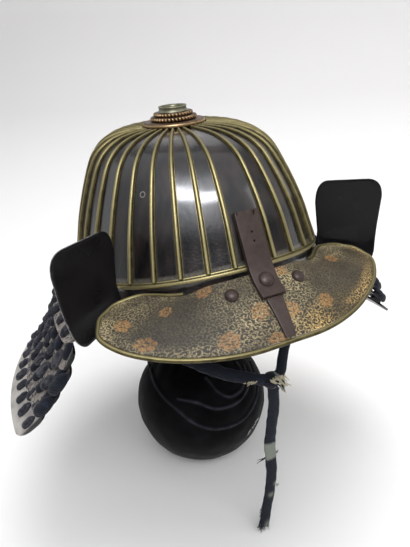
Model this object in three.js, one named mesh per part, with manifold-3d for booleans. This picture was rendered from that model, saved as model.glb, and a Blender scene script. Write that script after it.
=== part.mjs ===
// Kabuto: a ribbed samurai helmet on a plain round display stand.
//
// Millimetres, +Z up, the face opening towards -Y, +X to the wearer's left.
// The helmet's own frame has its origin at the middle of the bowl's rim. Every
// piece is placed in that frame, and one group then lifts the whole helmet so
// that the part's origin is the middle of the stand's foot.

import * as THREE from 'three';
import { mergeVertices } from 'three/addons/utils/BufferGeometryUtils.js';
import Module from 'manifold-3d';

// ---- driving dimensions -------------------------------------------------

const GAP = 0.35; // clearance left between neighbouring pieces

// Bowl: outer surface, from the rim up to the hole under the top ornament.
const BOWL_HALF_WIDTH = 105.8;
const BOWL_FRONT = 117.9;
const BOWL_BACK = 124.9;
const BOWL_FRONT_LIFT = 18.2; // the rim is higher over the brow
const BOWL_THICKNESS = 2;
const BOWL_REAR_FULLNESS = 0.15; // how much fuller the back shoulder is
const CROWN_Y = 15.8;
const CROWN_Z = 109.2;
const CROWN_HOLE_RADIUS = 11;
const BOWL_STATIONS = 10;
const BOWL_SIDE_STEP = 6; // degrees
const BOWL_SECTORS = [ // joined under ribs, angles in degrees from the brow
  { name: 'bowl_front', from: -54, to: 54 },
  { name: 'bowl_left', from: 54, to: 168 },
  { name: 'bowl_right', from: 168, to: 306 },
];

// Meridian of the bowl: how far out and how high, as parts of the rim and crown.
const BOWL_PROFILE = [
  { reach: 1.0, height: 0.0 },
  { reach: 0.965, height: 0.14 },
  { reach: 0.91, height: 0.36 },
  { reach: 0.815, height: 0.63 },
  { reach: 0.71, height: 0.84 },
  { reach: 0.56, height: 0.95 },
  { reach: 0.37, height: 0.99 },
  { reach: 0.1, height: 1.0 },
];

// Raised ribs on the plate joints.
const RIBS_PER_SIDE = 15;
const FRONT_PLATE_ANGLE = 18.5;
const RIB_STEP_ANGLE = 11.05;
const RIB_STEP_GROWTH = 0.025;
const RIB_WIDTH = 4.6;
const RIB_HEIGHT = 2.9;
const RIB_CLEARANCE = 0.5; // over the bowl, whose flat facets lie inside its curve
const RIB_TOP_SCALE = 0.55; // ribs narrow towards the crown
const RIB_FOOT = 0.035; // where a rib starts along the meridian
const RIB_TIP_CLEARANCE = 1; // between a rib's tip and the top ornament's flange

// Band round the bowl's rim and the lower band that carries visor and neck guard.
const RIM_SIDES = 60;
const RIM_BAND_HEIGHT = 5;
const RIM_BAND_DEPTH = 2.5;
const LOWER_BAND_BOTTOM = -15;
const LOWER_BAND_THICKNESS = 1.8;

// Top ornament, from its flange up to its open collar.
const FLANGE = { inner: 11.5, outer: 27.9, height: 4.2 };
const LOWER_RING = { inner: 11.5, outer: 20.8, height: 3.5 };
const UPPER_RING = { inner: 11.0, outer: 17.7, height: 3.0 };
const COLLAR = { inner: 9.6, outer: 12.8, height: 4.6 };

// Visor: its inner edge follows the bowl, its outer edge is the free edge.
// One row for each section, from the middle of the brow to the end of a wing.
const VISOR_SECTIONS = [
  { inner: [0, -121.6, 12.6], outer: [0, -162.5, -25.2] },
  { inner: [20, -120.2, 12.0], outer: [32.1, -161.6, -25.2] },
  { inner: [39, -114.6, 9.6], outer: [61.3, -153.0, -24.5] },
  { inner: [58, -107.6, 4.0], outer: [90.0, -136.8, -22.9] },
  { inner: [68, -98.2, 2.6], outer: [112.7, -118.4, -18.0] },
  { inner: [85, -81.6, 1.0], outer: [122.6, -101.0, -11.6] },
  { inner: [103, -79.4, -1.8], outer: [117.0, -87.4, -6.0] },
];
const VISOR_NOTCH_SECTION = 3;
const VISOR_THICKNESS = 2;
const VISOR_CROWN = 3; // how much the visor bulges between its edges
const VISOR_PIPING_RADIUS = 1.9;
const PIPING_WING_SLACK = 1.7; // the faceted piping needs more room round the wings
const VISOR_RIVET = { radius: 5.4, height: 3.6 };
const VISOR_RIVET_X = 28.6;
const VISOR_RIVET_OUT = 0.24; // share of the way from the inner edge to the outer

// Crest holder: a flat sleeve, open at its top, that leans on the bowl and then
// bends out along the visor. Stations of its face, from the top down.
const HOLDER_FACE = [
  { y: -107.6, z: 58.2, depth: 4.6 },
  { y: -113.0, z: 46.3, depth: 4.6 },
  { y: -118.4, z: 34.9, depth: 4.6 },
  { y: -122.4, z: 25.5, depth: 4.6 },
  { y: -126.7, z: 17.2, depth: 4.0 },
  { y: -133.3, z: 9.6, depth: 3.2 },
  { y: -143.6, z: 2.8, depth: 4.0 },
];
const HOLDER_WIDTH = 20.4;
const HOLDER_WALL = 1;
const HOLDER_SLOT_DEPTH = 26;
const HOLDER_PINHOLES = { radius: 0.8, fromTop: [17, 24] };
const HOLDER_RIVET = { radius: 6.2, height: 3.2 };
const HOLDER_RIVET_STATION = 0.81; // how far down the face
const TONGUE = { from: 0.43, to: 0.97, topWidth: 13.5, endWidth: 8.5, thickness: 2.2 };

// Turned-back cheek plates.
const CHEEK_ORIGIN = [88.9, -60.5, -4.8];
const CHEEK_OUTWARD = [0.899, -0.417, -0.135];
const CHEEK_UPWARD = [0.102, -0.102, 0.99];
const CHEEK_THICKNESS = 2.2;

// Neck guard: rings of a flaring, U-shaped skirt between a top and a bottom ring.
const GUARD_LAMES = 5;
const GUARD_TOP = { halfWidth: 141.7, depth: 204, centreY: -59.5, z: -8, endY: -96.2 };
const GUARD_BOTTOM = { halfWidth: 194.5, depth: 242, centreY: -42.9, z: -106.2, endY: -58.2 };
const GUARD_FLARE = 1.8; // the skirt steepens downwards
const GUARD_REAR_RISE = 8.8;
const GUARD_HANGER = { halfWidth: 109.2, depth: 125, centreY: 4, z: -11.5, rise: 0, endY: -53 };
const GUARD_THICKNESS = 2;
const GUARD_TUCK = 6; // how far a lame's upper edge hides inside the lame above
const GUARD_OVERLAP = 0.03;
const GUARD_SECOND_DROP = 0.015; // the first lame is flat, so the second hangs under it
const GUARD_BEHIND_CHEEK_Y = -79.5; // the first lame's ends stop behind the cheek plates
const GUARD_STATIONS = 30;

// Chin strap: a slack loop, its knot and the loose tail.
const STRAP_WIDTH = 11;
const STRAP_THICKNESS = 4.6;
const STRAP_RIGHT_ROUTE = [
  [-86, -48, -6], [-84, -58, -22], [-77, -72, -37], [-66, -88, -50],
  [-50, -101, -61], [-32, -109, -72], [-14, -114, -80.5], [-1, -116.5, -86],
];
const STRAP_LEFT_ROUTE = [
  [18.5, -116, -85.5], [22.5, -112, -78], [30, -107, -65],
  [40, -100, -49], [52, -91, -33], [64, -80, -20], [75, -66, -10], [82, -52, -5],
];
const KNOT_CENTRE = [8.6, -117.5, -89];
const KNOT_RADII = [8.4, 6.4, 7.6];
const TAIL_ROUTE = [
  [8.4, -118.5, -97.6], [8.9, -118.5, -105], [8.6, -118.5, -113], [7.2, -118.5, -122],
  [5.6, -118.5, -131], [4.1, -118.5, -140], [2.9, -118.5, -150], [2.5, -118.5, -160],
  [2.7, -118.5, -170], [2.8, -118.6, -180], [2.0, -118.7, -190], [0.3, -118.8, -200],
  [-2.0, -119, -210], [-4.6, -119.3, -220], [-7.4, -119.8, -230], [-10.4, -120.8, -239],
];
const CORD_SIDES = 8;

// Stand: a velvet-covered ball with a flat foot, a post and a pad under the crown.
const STAND_Y = 23;
const FLOOR_Z = -244;
const BALL_RADIUS = 70;
const BALL_CENTRE_Z = -182.7;
const POST_RADIUS = 8;
const PAD = { radius: 30, bottom: 90, top: 106.2 };

// ---- finishes -----------------------------------------------------------

const finish = (color, roughness, metalness) =>
  new THREE.MeshStandardMaterial({ color, roughness, metalness });

const lacquer = finish(0x1b191b, 0.25, 0.1);
const agedBrass = finish(0x8c8257, 0.45, 0.9);
const copperBrass = finish(0x8f7458, 0.5, 0.85);
const verdigrisBrass = finish(0x7c7a5c, 0.5, 0.8);
const stencilledLeather = finish(0x5c5140, 0.75, 0);
const russetIron = finish(0x4f3f3c, 0.6, 0.5);
const navyCotton = finish(0x1d2436, 0.95, 0);
const blackVelvet = finish(0x0b0b0d, 1, 0);
const blackWood = finish(0x151312, 0.6, 0);

// ---- solid-making helpers -----------------------------------------------

// Merges the corners of a closed geometry and turns its faces outwards.
function solid(geometry) {
  geometry.deleteAttribute('normal');
  geometry.deleteAttribute('uv');
  const merged = mergeVertices(geometry, 1e-3);
  const position = merged.getAttribute('position');
  const kept = [];
  for (let i = 0; i < merged.index.count; i += 3) {
    const [a, b, c] = [0, 1, 2].map((k) => merged.index.getX(i + k));
    if (a !== b && b !== c && c !== a) kept.push(a, b, c);
  }
  const corner = (k) => new THREE.Vector3().fromBufferAttribute(position, k);
  let volume = 0;
  for (let i = 0; i < kept.length; i += 3) {
    volume += corner(kept[i]).dot(corner(kept[i + 1]).cross(corner(kept[i + 2])));
  }
  merged.setIndex(volume < 0 ? kept.reverse() : kept);
  merged.computeVertexNormals();
  return merged;
}

// Joins equal loops of points into one closed body. An open row of loops is
// closed at both ends by strips across the loop.
function loft(loops, ring = false) {
  const size = loops[0].length;
  const positions = loops.flat().flatMap((p) => [p.x, p.y, p.z]);
  const index = [];
  const at = (row, k) => (row % loops.length) * size + (k % size);
  const rows = ring ? loops.length : loops.length - 1;
  for (let row = 0; row < rows; row += 1) {
    for (let k = 0; k < size; k += 1) {
      index.push(at(row, k), at(row, k + 1), at(row + 1, k + 1));
      index.push(at(row, k), at(row + 1, k + 1), at(row + 1, k));
    }
  }
  if (!ring) {
    const last = loops.length - 1;
    for (let k = 0; k < size / 2 - 1; k += 1) {
      const [a, b, c, d] = [k, k + 1, size - 2 - k, size - 1 - k];
      index.push(at(0, a), at(0, c), at(0, b), at(0, a), at(0, d), at(0, c));
      index.push(at(last, a), at(last, b), at(last, c), at(last, a), at(last, c), at(last, d));
    }
  }
  const geometry = new THREE.BufferGeometry();
  geometry.setAttribute('position', new THREE.Float32BufferAttribute(positions, 3));
  geometry.setIndex(index);
  return solid(geometry);
}

// Lathes a profile of [radius, height] pairs round the Z axis.
function turned(profile, segments) {
  const points = profile.map(([radius, height]) => new THREE.Vector2(radius, height));
  const geometry = new THREE.LatheGeometry(points, segments);
  geometry.rotateX(Math.PI / 2);
  return solid(geometry);
}

const vector = ([x, y, z]) => new THREE.Vector3(x, y, z);
const mirrored = (p) => new THREE.Vector3(-p.x, p.y, p.z);
const radians = THREE.MathUtils.degToRad;

const helmet = new THREE.Group();
helmet.position.set(0, -STAND_Y, -FLOOR_Z);

function addPiece(name, geometry, material) {
  const mesh = new THREE.Mesh(geometry, material);
  mesh.name = name;
  helmet.add(mesh);
  return mesh;
}

// ---- bowl ---------------------------------------------------------------

const bowlMeridian = new THREE.SplineCurve(
  BOWL_PROFILE.map(({ reach, height }) => new THREE.Vector2(reach, height)),
);

const rimLift = (angle) => BOWL_FRONT_LIFT * Math.max(Math.cos(angle), 0) ** 2;

// A point of the bowl's outer surface: angle 0 is the brow, along runs from
// the rim (0) to the crown (1).
function bowlPoint(angle, along) {
  const { x: reach, y: height } = bowlMeridian.getPoint(THREE.MathUtils.clamp(along, 0, 1));
  const forward = Math.cos(angle);
  const full = 1 - BOWL_REAR_FULLNESS * forward * height ** 2 * (1 - reach);
  const rimX = BOWL_HALF_WIDTH * Math.sin(angle);
  const rimY = -(forward > 0 ? BOWL_FRONT : BOWL_BACK) * forward;
  return new THREE.Vector3(
    rimX * reach * full,
    CROWN_Y + (rimY - CROWN_Y) * reach * full,
    rimLift(angle) * (1 - height) + CROWN_Z * height,
  );
}

function bowlFrame(angle, along) {
  const step = 1e-3;
  const here = bowlPoint(angle, along);
  const up = bowlPoint(angle, along + step).sub(bowlPoint(angle, along)).normalize();
  const across = bowlPoint(angle + step, along).sub(bowlPoint(angle - step, along)).normalize();
  const outward = new THREE.Vector3().crossVectors(across, up).normalize();
  return { here, up, across: new THREE.Vector3().crossVectors(up, outward), outward };
}

// The crown end of the meridian stops at the hole under the top ornament.
const bowlTop = (() => {
  let along = 1;
  while (bowlPoint(Math.PI / 2, along).x < CROWN_HOLE_RADIUS) along -= 0.002;
  return along;
})();

function bowlStation(row) {
  return bowlTop * (row / BOWL_STATIONS) ** 0.9;
}

// One sector of plates, kept clear of its neighbours by half a gap at each joint.
function makeBowlSector({ name, from, to }) {
  const steps = (to - from) / BOWL_SIDE_STEP;
  const loops = [];
  for (let side = 0; side <= steps; side += 1) {
    const angle = radians(from + side * BOWL_SIDE_STEP);
    const inwards = (side === 0 ? 1 : 0) - (side === steps ? 1 : 0);
    const outer = [];
    const inner = [];
    for (let row = 0; row <= BOWL_STATIONS; row += 1) {
      const { here, across, outward } = bowlFrame(angle, bowlStation(row));
      here.addScaledVector(across, (inwards * GAP) / 2);
      outer.push(here);
      inner.unshift(here.clone().addScaledVector(outward, -BOWL_THICKNESS));
    }
    inner[inner.length - 1].z = outer[0].z;
    loops.push([...outer, ...inner]);
  }
  addPiece(name, loft(loops), lacquer);
}

// ---- ribs ---------------------------------------------------------------

function ribAngle(k) {
  return radians(FRONT_PLATE_ANGLE / 2 + RIB_STEP_ANGLE * k + RIB_STEP_GROWTH * k * k);
}

// How far a rib runs up the meridian before it meets the top ornament.
function ribTip(angle) {
  const reach = (along) => {
    const { x, y } = bowlPoint(angle, along);
    return Math.hypot(x, y - CROWN_Y);
  };
  let tip = bowlTop;
  while (reach(tip) < FLANGE.outer + RIB_TIP_CLEARANCE) tip -= 0.002;
  return tip;
}

// A rib shares the bowl's own stations, so that the two stay parallel.
function ribStations(angle) {
  const tip = ribTip(angle);
  const between = [];
  for (let row = 1; row < BOWL_STATIONS; row += 1) {
    const along = bowlStation(row);
    if (along > RIB_FOOT && along < tip - 0.03) between.push(along);
  }
  return [RIB_FOOT, ...between, tip];
}

function makeRib(angle) {
  const loops = ribStations(angle).map((along) => {
    const { here, across, outward } = bowlFrame(angle, along);
    const scale = THREE.MathUtils.lerp(1, RIB_TOP_SCALE, along ** 1.5);
    const place = (side, height) => here.clone()
      .addScaledVector(across, side * RIB_WIDTH * scale)
      .addScaledVector(outward, RIB_CLEARANCE + height * scale);
    return [place(-0.5, 0), place(-0.28, RIB_HEIGHT), place(0.28, RIB_HEIGHT), place(0.5, 0)];
  });
  return loft(loops);
}

function makeRibs() {
  for (let k = 0; k < RIBS_PER_SIDE; k += 1) {
    const number = String(k + 1).padStart(2, '0');
    addPiece(`rib_left_${number}`, makeRib(ribAngle(k)), agedBrass);
    addPiece(`rib_right_${number}`, makeRib(-ribAngle(k)), agedBrass);
  }
}

// ---- rim band and lower band --------------------------------------------

// A ring whose section is given as [outward, up] pairs from the bowl's rim.
function rimRing(section) {
  const loops = [];
  for (let side = 0; side < RIM_SIDES; side += 1) {
    const angle = (2 * Math.PI * side) / RIM_SIDES;
    const { here, across } = bowlFrame(angle, 0.001);
    const outward = new THREE.Vector3(across.y, -across.x, 0).normalize();
    loops.push(section(here.z).map(([out, height]) => {
      const point = here.clone().addScaledVector(outward, out);
      point.z = height;
      return point;
    }));
  }
  return loft(loops, true);
}

function makeBands() {
  const half = RIM_BAND_HEIGHT / 2;
  const depth = RIM_BAND_DEPTH;
  const centre = -1;
  addPiece('bowl_rim_band', rimRing((z) => [
    [GAP, z + centre - half], [depth * 0.7 + GAP, z + centre - half], [depth + GAP, z + centre],
    [depth * 0.7 + GAP, z + centre + half * 0.8], [GAP, z + centre + half * 0.8],
  ]), agedBrass);
  addPiece('lower_band', rimRing((z) => [
    [-LOWER_BAND_THICKNESS, z - GAP], [0, z - GAP],
    [0, LOWER_BAND_BOTTOM], [-LOWER_BAND_THICKNESS, LOWER_BAND_BOTTOM],
  ]), lacquer);
}

// ---- top ornament -------------------------------------------------------

function makeTopOrnament() {
  const segments = 20;
  let level = CROWN_Z + GAP;
  const stack = (name, profile, height, material) => {
    const mesh = addPiece(name, turned(profile, segments), material);
    mesh.position.set(0, CROWN_Y, level);
    level += height + GAP;
  };
  const { inner, outer, height } = FLANGE;
  stack('top_flange', [
    [inner, 0], [outer - 1.6, 0], [outer, height * 0.35], [outer - 0.6, height * 0.7],
    [outer - 4, height * 0.92], [inner, height], [inner, 0],
  ], height, copperBrass);
  for (const [name, ring] of [['top_lower_ring', LOWER_RING], ['top_upper_ring', UPPER_RING]]) {
    stack(name, [
      [ring.inner, 0], [ring.outer - 1, 0], [ring.outer, ring.height * 0.5],
      [ring.outer - 1, ring.height], [ring.inner, ring.height], [ring.inner, 0],
    ], ring.height, copperBrass);
  }
  stack('top_collar', [
    [COLLAR.inner, 0], [COLLAR.outer - 0.8, 0], [COLLAR.outer - 1, COLLAR.height * 0.6],
    [COLLAR.outer, COLLAR.height], [COLLAR.inner + 0.6, COLLAR.height],
    [COLLAR.inner, COLLAR.height * 0.6], [COLLAR.inner, 0],
  ], COLLAR.height, verdigrisBrass);
}

// ---- visor --------------------------------------------------------------

// A smooth curve through the visor's sections, from one wing over the brow
// to the other: t runs from -1 to 1.
function visorEdge(side) {
  const half = VISOR_SECTIONS.map((row) => vector(row[side]));
  const curve = new THREE.CatmullRomCurve3([
    ...half.slice(1).reverse().map(mirrored), ...half,
  ]);
  return (t) => curve.getPoint((t + 1) / 2);
}

const visorInner = visorEdge('inner');
const visorOuter = visorEdge('outer');

function visorSurface(t, out) {
  const point = visorInner(t).lerp(visorOuter(t), out);
  const lift = VISOR_CROWN * 4 * out * (1 - out) * (1 - Math.abs(t) ** 3);
  return point.addScaledVector(new THREE.Vector3(0, -0.65, 0.76), lift);
}

function visorFrame(t, out) {
  const step = 1e-3;
  const along = visorSurface(t + step, out).sub(visorSurface(t - step, out)).normalize();
  const fall = visorSurface(t, out + step).sub(visorSurface(t, out - step)).normalize();
  const outward = new THREE.Vector3().crossVectors(fall, along).normalize();
  return { here: visorSurface(t, out), along, fall, outward };
}

const VISOR_COLUMNS = 36;
const VISOR_ROWS = 4;
const WING_END = 0.998; // the curves have no direction at their very ends

function makeVisor() {
  const loops = [];
  for (let column = 0; column <= VISOR_COLUMNS; column += 1) {
    const t = (2 * column) / VISOR_COLUMNS - 1;
    const upper = [];
    const under = [];
    for (let row = 0; row <= VISOR_ROWS; row += 1) {
      const clamped = THREE.MathUtils.clamp(t, -WING_END, WING_END);
      const { here, outward } = visorFrame(clamped, row / VISOR_ROWS);
      upper.push(here);
      under.unshift(here.clone().addScaledVector(outward, -VISOR_THICKNESS));
    }
    loops.push([...upper, ...under]);
  }
  addPiece('visor_plate', loft(loops), stencilledLeather);
}

// The piping starts at a wing's notch, runs round the free edge and ends at
// the other wing's notch. Its stops go round each wing's end by two corners.
function pipingStops() {
  const notch = VISOR_NOTCH_SECTION / (VISOR_SECTIONS.length - 1);
  const wing = [];
  for (let t = notch; t < 0.92; t += 0.085) wing.push({ t, out: 0, end: 0 });
  wing.push({ t: WING_END, out: 0, end: 1 }, { t: WING_END, out: 0.5, end: 1 });
  wing.push({ t: WING_END, out: 1, end: 1 });
  for (let t = 0.9; t > 0.02; t -= 0.09) wing.push({ t, out: 1, end: 0 });
  const other = wing.map((stop) => ({ ...stop, t: -stop.t })).reverse();
  return [...wing, { t: 0, out: 1, end: 0 }, ...other];
}

function makeVisorPiping() {
  const path = pipingStops().map(({ t, out, end }) => {
    const { here, along, fall, outward } = visorFrame(t, out);
    const clearance = VISOR_PIPING_RADIUS + GAP + PIPING_WING_SLACK * Math.abs(t) ** 3;
    return here
      .addScaledVector(fall, clearance * Math.sign(out - 0.5))
      .addScaledVector(along, clearance * end * Math.sign(t))
      .addScaledVector(outward, -VISOR_THICKNESS / 2);
  });
  const curve = new THREE.CatmullRomCurve3(path);
  const circle = new THREE.Shape();
  circle.absarc(0, 0, VISOR_PIPING_RADIUS, 0, 2 * Math.PI);
  const geometry = new THREE.ExtrudeGeometry(circle, {
    extrudePath: curve, steps: 64, curveSegments: 3,
  });
  addPiece('visor_piping', solid(geometry), agedBrass);
}

function domeProfile({ radius, height }) {
  const profile = [[0, 0], [radius, 0]];
  for (const angle of [25, 50, 70]) {
    profile.push([radius * Math.cos(radians(angle)), height * Math.sin(radians(angle))]);
  }
  return [...profile, [0, height]];
}

function placeDome(name, size, point, outward) {
  const mesh = addPiece(name, turned(domeProfile(size), 12), russetIron);
  mesh.quaternion.setFromUnitVectors(new THREE.Vector3(0, 0, 1), outward);
  mesh.position.copy(point).addScaledVector(outward, GAP);
}

function makeVisorRivets() {
  let t = 0;
  while (visorSurface(t, VISOR_RIVET_OUT).x < VISOR_RIVET_X) t += 0.002;
  for (const [name, sign] of [['visor_rivet_left', 1], ['visor_rivet_right', -1]]) {
    const { here, outward } = visorFrame(sign * t, VISOR_RIVET_OUT);
    placeDome(name, VISOR_RIVET, here.addScaledVector(outward, 0.3), outward);
  }
}

// ---- crest holder -------------------------------------------------------

function toManifold(wasm, geometry) {
  return new wasm.Manifold(new wasm.Mesh({
    numProp: 3,
    vertProperties: geometry.getAttribute('position').array,
    triVerts: Uint32Array.from(geometry.index.array),
  }));
}

function fromManifold(manifold) {
  const mesh = manifold.getMesh();
  const geometry = new THREE.BufferGeometry();
  geometry.setAttribute('position', new THREE.BufferAttribute(mesh.vertProperties, 3));
  geometry.setIndex(new THREE.BufferAttribute(mesh.triVerts, 1));
  return solid(geometry);
}

const holderCurve = new THREE.CatmullRomCurve3(
  HOLDER_FACE.map(({ y, z }) => new THREE.Vector3(0, y, z)),
);

// A point of the holder's face and the direction that the face looks in, for a
// share of the way down its stations.
function holderFrame(down) {
  const here = holderCurve.getPoint(down);
  const fall = holderCurve.getTangent(down);
  return { here, fall, outward: new THREE.Vector3(0, fall.z, -fall.y).normalize() };
}

async function makeCrestHolder() {
  const wasm = await Module();
  wasm.setup();
  const last = HOLDER_FACE.length - 1;
  const loops = [];
  for (let row = 0; row <= last * 2; row += 1) {
    const { here, outward } = holderFrame(row / (last * 2));
    const [above, below] = [Math.floor(row / 2), Math.ceil(row / 2)];
    const depth = (HOLDER_FACE[above].depth + HOLDER_FACE[below].depth) / 2;
    const corner = (side, back) => new THREE.Vector3(side * HOLDER_WIDTH / 2, here.y, here.z)
      .addScaledVector(outward, -back);
    loops.push([corner(-1, 0), corner(1, 0), corner(1, depth), corner(-1, depth)]);
  }
  let sleeve = toManifold(wasm, loft(loops));

  // The slot is straight, so it follows the sleeve only over its first stretch.
  const mouth = holderFrame(0);
  const upright = new THREE.Quaternion().setFromUnitVectors(
    new THREE.Vector3(0, -1, 0), mouth.outward,
  );
  const slotThickness = HOLDER_FACE[0].depth - 2 * HOLDER_WALL;
  const cutters = [];
  const slot = new THREE.BoxGeometry(
    HOLDER_WIDTH - 2 * HOLDER_WALL, slotThickness, HOLDER_SLOT_DEPTH + 4,
  );
  slot.translate(0, HOLDER_WALL + slotThickness / 2, 2 - HOLDER_SLOT_DEPTH / 2);
  cutters.push(slot);
  for (const fromTop of HOLDER_PINHOLES.fromTop) {
    const hole = new THREE.CylinderGeometry(HOLDER_PINHOLES.radius, HOLDER_PINHOLES.radius, 4, 6);
    hole.translate(0, 0, -fromTop);
    cutters.push(hole);
  }
  for (const cutter of cutters) {
    cutter.applyQuaternion(upright);
    cutter.translate(0, mouth.here.y, mouth.here.z);
    sleeve = sleeve.subtract(toManifold(wasm, solid(cutter)));
  }
  addPiece('crest_holder', fromManifold(sleeve), russetIron);

  const rivet = holderFrame(HOLDER_RIVET_STATION);
  placeDome('holder_rivet', HOLDER_RIVET, rivet.here.addScaledVector(rivet.outward, 0.75), rivet.outward);
}

// The tongue lies on the visor from the holder's foot to the piping.
function makeHolderTongue() {
  const sections = 4;
  const loops = [];
  for (let row = 0; row <= sections; row += 1) {
    const share = row / sections;
    const { here, outward } = visorFrame(0, THREE.MathUtils.lerp(TONGUE.from, TONGUE.to, share));
    const half = THREE.MathUtils.lerp(TONGUE.topWidth, TONGUE.endWidth, share) / 2;
    const corner = (side, height) => new THREE.Vector3(side * half, here.y, here.z)
      .addScaledVector(outward, GAP + height);
    loops.push([
      corner(-1, 0), corner(-1, TONGUE.thickness), corner(1, TONGUE.thickness), corner(1, 0),
    ]);
  }
  addPiece('holder_tongue', loft(loops), russetIron);
}

// ---- cheek plates -------------------------------------------------------

// Outline in the plate's own frame: x outward from the face, y up.
function cheekOutline() {
  const shape = new THREE.Shape();
  shape.moveTo(5.5, -3);
  shape.lineTo(5.2, 14);
  shape.lineTo(0, 40);
  shape.quadraticCurveTo(-2, 60, 9, 61);
  shape.lineTo(44, 64);
  shape.quadraticCurveTo(56.5, 64, 58, 48);
  shape.lineTo(58.5, 0);
  shape.quadraticCurveTo(57.5, -14, 48, -14);
  shape.lineTo(24, -13);
  shape.quadraticCurveTo(10, -11, 5.5, -3);
  return shape;
}

function makeCheekPlates() {
  const outward = vector(CHEEK_OUTWARD).normalize();
  const facing = new THREE.Vector3().crossVectors(outward, vector(CHEEK_UPWARD)).normalize();
  const upward = new THREE.Vector3().crossVectors(facing, outward);
  const place = new THREE.Matrix4().makeBasis(outward, upward, facing);
  place.setPosition(vector(CHEEK_ORIGIN));
  const plate = new THREE.ExtrudeGeometry(cheekOutline(), {
    depth: CHEEK_THICKNESS, bevelEnabled: false, curveSegments: 5,
  });
  plate.translate(0, 0, -CHEEK_THICKNESS);
  plate.applyMatrix4(place);
  const other = plate.clone().applyMatrix4(new THREE.Matrix4().makeScale(-1, 1, 1));
  addPiece('cheek_plate_left', solid(plate), lacquer);
  addPiece('cheek_plate_right', solid(other), lacquer);
}

// ---- neck guard ---------------------------------------------------------

// The skirt's ring at a level from the top (0) to the bottom (1).
function guardRing(level) {
  const flare = level ** GUARD_FLARE;
  const mix = (key, share) => THREE.MathUtils.lerp(GUARD_TOP[key], GUARD_BOTTOM[key], share);
  return {
    halfWidth: mix('halfWidth', flare), depth: mix('depth', flare), centreY: mix('centreY', flare),
    z: mix('z', level), rise: GUARD_REAR_RISE * level, endY: mix('endY', level),
  };
}

function ringPoint(ring, part, inset) {
  const end = Math.acos((ring.centreY - ring.endY) / ring.depth);
  const angle = THREE.MathUtils.lerp(end, 2 * Math.PI - end, part);
  return new THREE.Vector3(
    (ring.halfWidth - inset) * Math.sin(angle),
    ring.centreY - (ring.depth - inset) * Math.cos(angle),
    ring.z - ring.rise * Math.cos(angle),
  );
}

function makeLame(name, upper, lower) {
  const loops = [];
  for (let station = 0; station <= GUARD_STATIONS; station += 1) {
    const part = station / GUARD_STATIONS;
    const [top, bottom] = [upper, lower].map(({ ring, inset }) => ringPoint(ring, part, inset));
    const level = new THREE.Vector3(top.x, top.y - CROWN_Y, 0).normalize();
    const slope = bottom.clone().sub(top).normalize();
    const inward = level.clone().addScaledVector(slope, -level.dot(slope)).normalize().negate();
    const under = (point) => point.clone().addScaledVector(inward, GUARD_THICKNESS);
    loops.push([top, bottom, under(bottom), under(top)]);
  }
  addPiece(name, loft(loops), lacquer);
}

function makeNeckGuard() {
  const first = { ...guardRing(1 / GUARD_LAMES), endY: GUARD_BEHIND_CHEEK_Y };
  makeLame('neck_lame_1', { ring: GUARD_HANGER, inset: -GAP }, { ring: first, inset: 0 });
  for (let lame = 2; lame <= GUARD_LAMES; lame += 1) {
    const above = (lame - 1) / GUARD_LAMES;
    const upper = lame === 2
      ? { ...guardRing(above + GUARD_SECOND_DROP), endY: GUARD_BEHIND_CHEEK_Y }
      : guardRing(above - GUARD_OVERLAP);
    makeLame(
      `neck_lame_${lame}`,
      { ring: upper, inset: GUARD_TUCK },
      { ring: guardRing(lame / GUARD_LAMES), inset: 0 },
    );
  }
}

// ---- chin strap ---------------------------------------------------------

function makeStrapRun(name, route) {
  const shape = new THREE.Shape();
  shape.absellipse(0, 0, STRAP_WIDTH / 2, STRAP_THICKNESS / 2, 0, 2 * Math.PI);
  const geometry = new THREE.ExtrudeGeometry(shape, {
    extrudePath: new THREE.CatmullRomCurve3(route.map(vector)),
    steps: Math.round(route.length * 1.5),
    curveSegments: CORD_SIDES / 2,
  });
  addPiece(name, solid(geometry), navyCotton);
}

function makeChinStrap() {
  makeStrapRun('chin_strap_right', STRAP_RIGHT_ROUTE);
  makeStrapRun('chin_strap_left', STRAP_LEFT_ROUTE);
  const knot = solid(new THREE.IcosahedronGeometry(1, 1));
  knot.scale(...KNOT_RADII);
  addPiece('chin_strap_knot', knot, navyCotton).position.set(...KNOT_CENTRE);
  makeStrapRun('chin_strap_tail', TAIL_ROUTE);
}

// ---- stand --------------------------------------------------------------

function makeStand() {
  const footHeight = FLOOR_Z - BALL_CENTRE_Z;
  const startAngle = Math.asin(footHeight / BALL_RADIUS);
  const profile = [[0, FLOOR_Z]];
  const bands = 8;
  const endAngle = Math.acos((POST_RADIUS + GAP) / BALL_RADIUS);
  for (let band = 0; band <= bands; band += 1) {
    const angle = THREE.MathUtils.lerp(startAngle, endAngle, band / bands);
    profile.push([BALL_RADIUS * Math.cos(angle), BALL_CENTRE_Z + BALL_RADIUS * Math.sin(angle)]);
  }
  const ballTop = BALL_CENTRE_Z + BALL_RADIUS * Math.sin(endAngle);
  profile.push([0, ballTop]);
  const stand = [
    ['stand_ball', turned(profile, 22), blackVelvet],
    ['stand_post', turned([
      [0, ballTop + GAP], [POST_RADIUS, ballTop + GAP],
      [POST_RADIUS, PAD.bottom - GAP], [0, PAD.bottom - GAP],
    ], 12), blackWood],
    ['stand_pad', turned([
      [0, PAD.bottom], [PAD.radius - 3, PAD.bottom], [PAD.radius, PAD.bottom + 5],
      [PAD.radius - 3, PAD.top - 6], [PAD.radius - 13, PAD.top - 1.5],
      [CROWN_HOLE_RADIUS - 3, PAD.top], [0, PAD.top],
    ], 16), blackVelvet],
  ];
  for (const [name, geometry, material] of stand) {
    addPiece(name, geometry, material).position.y = STAND_Y;
  }
}

// ---- assembly -----------------------------------------------------------

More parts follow.
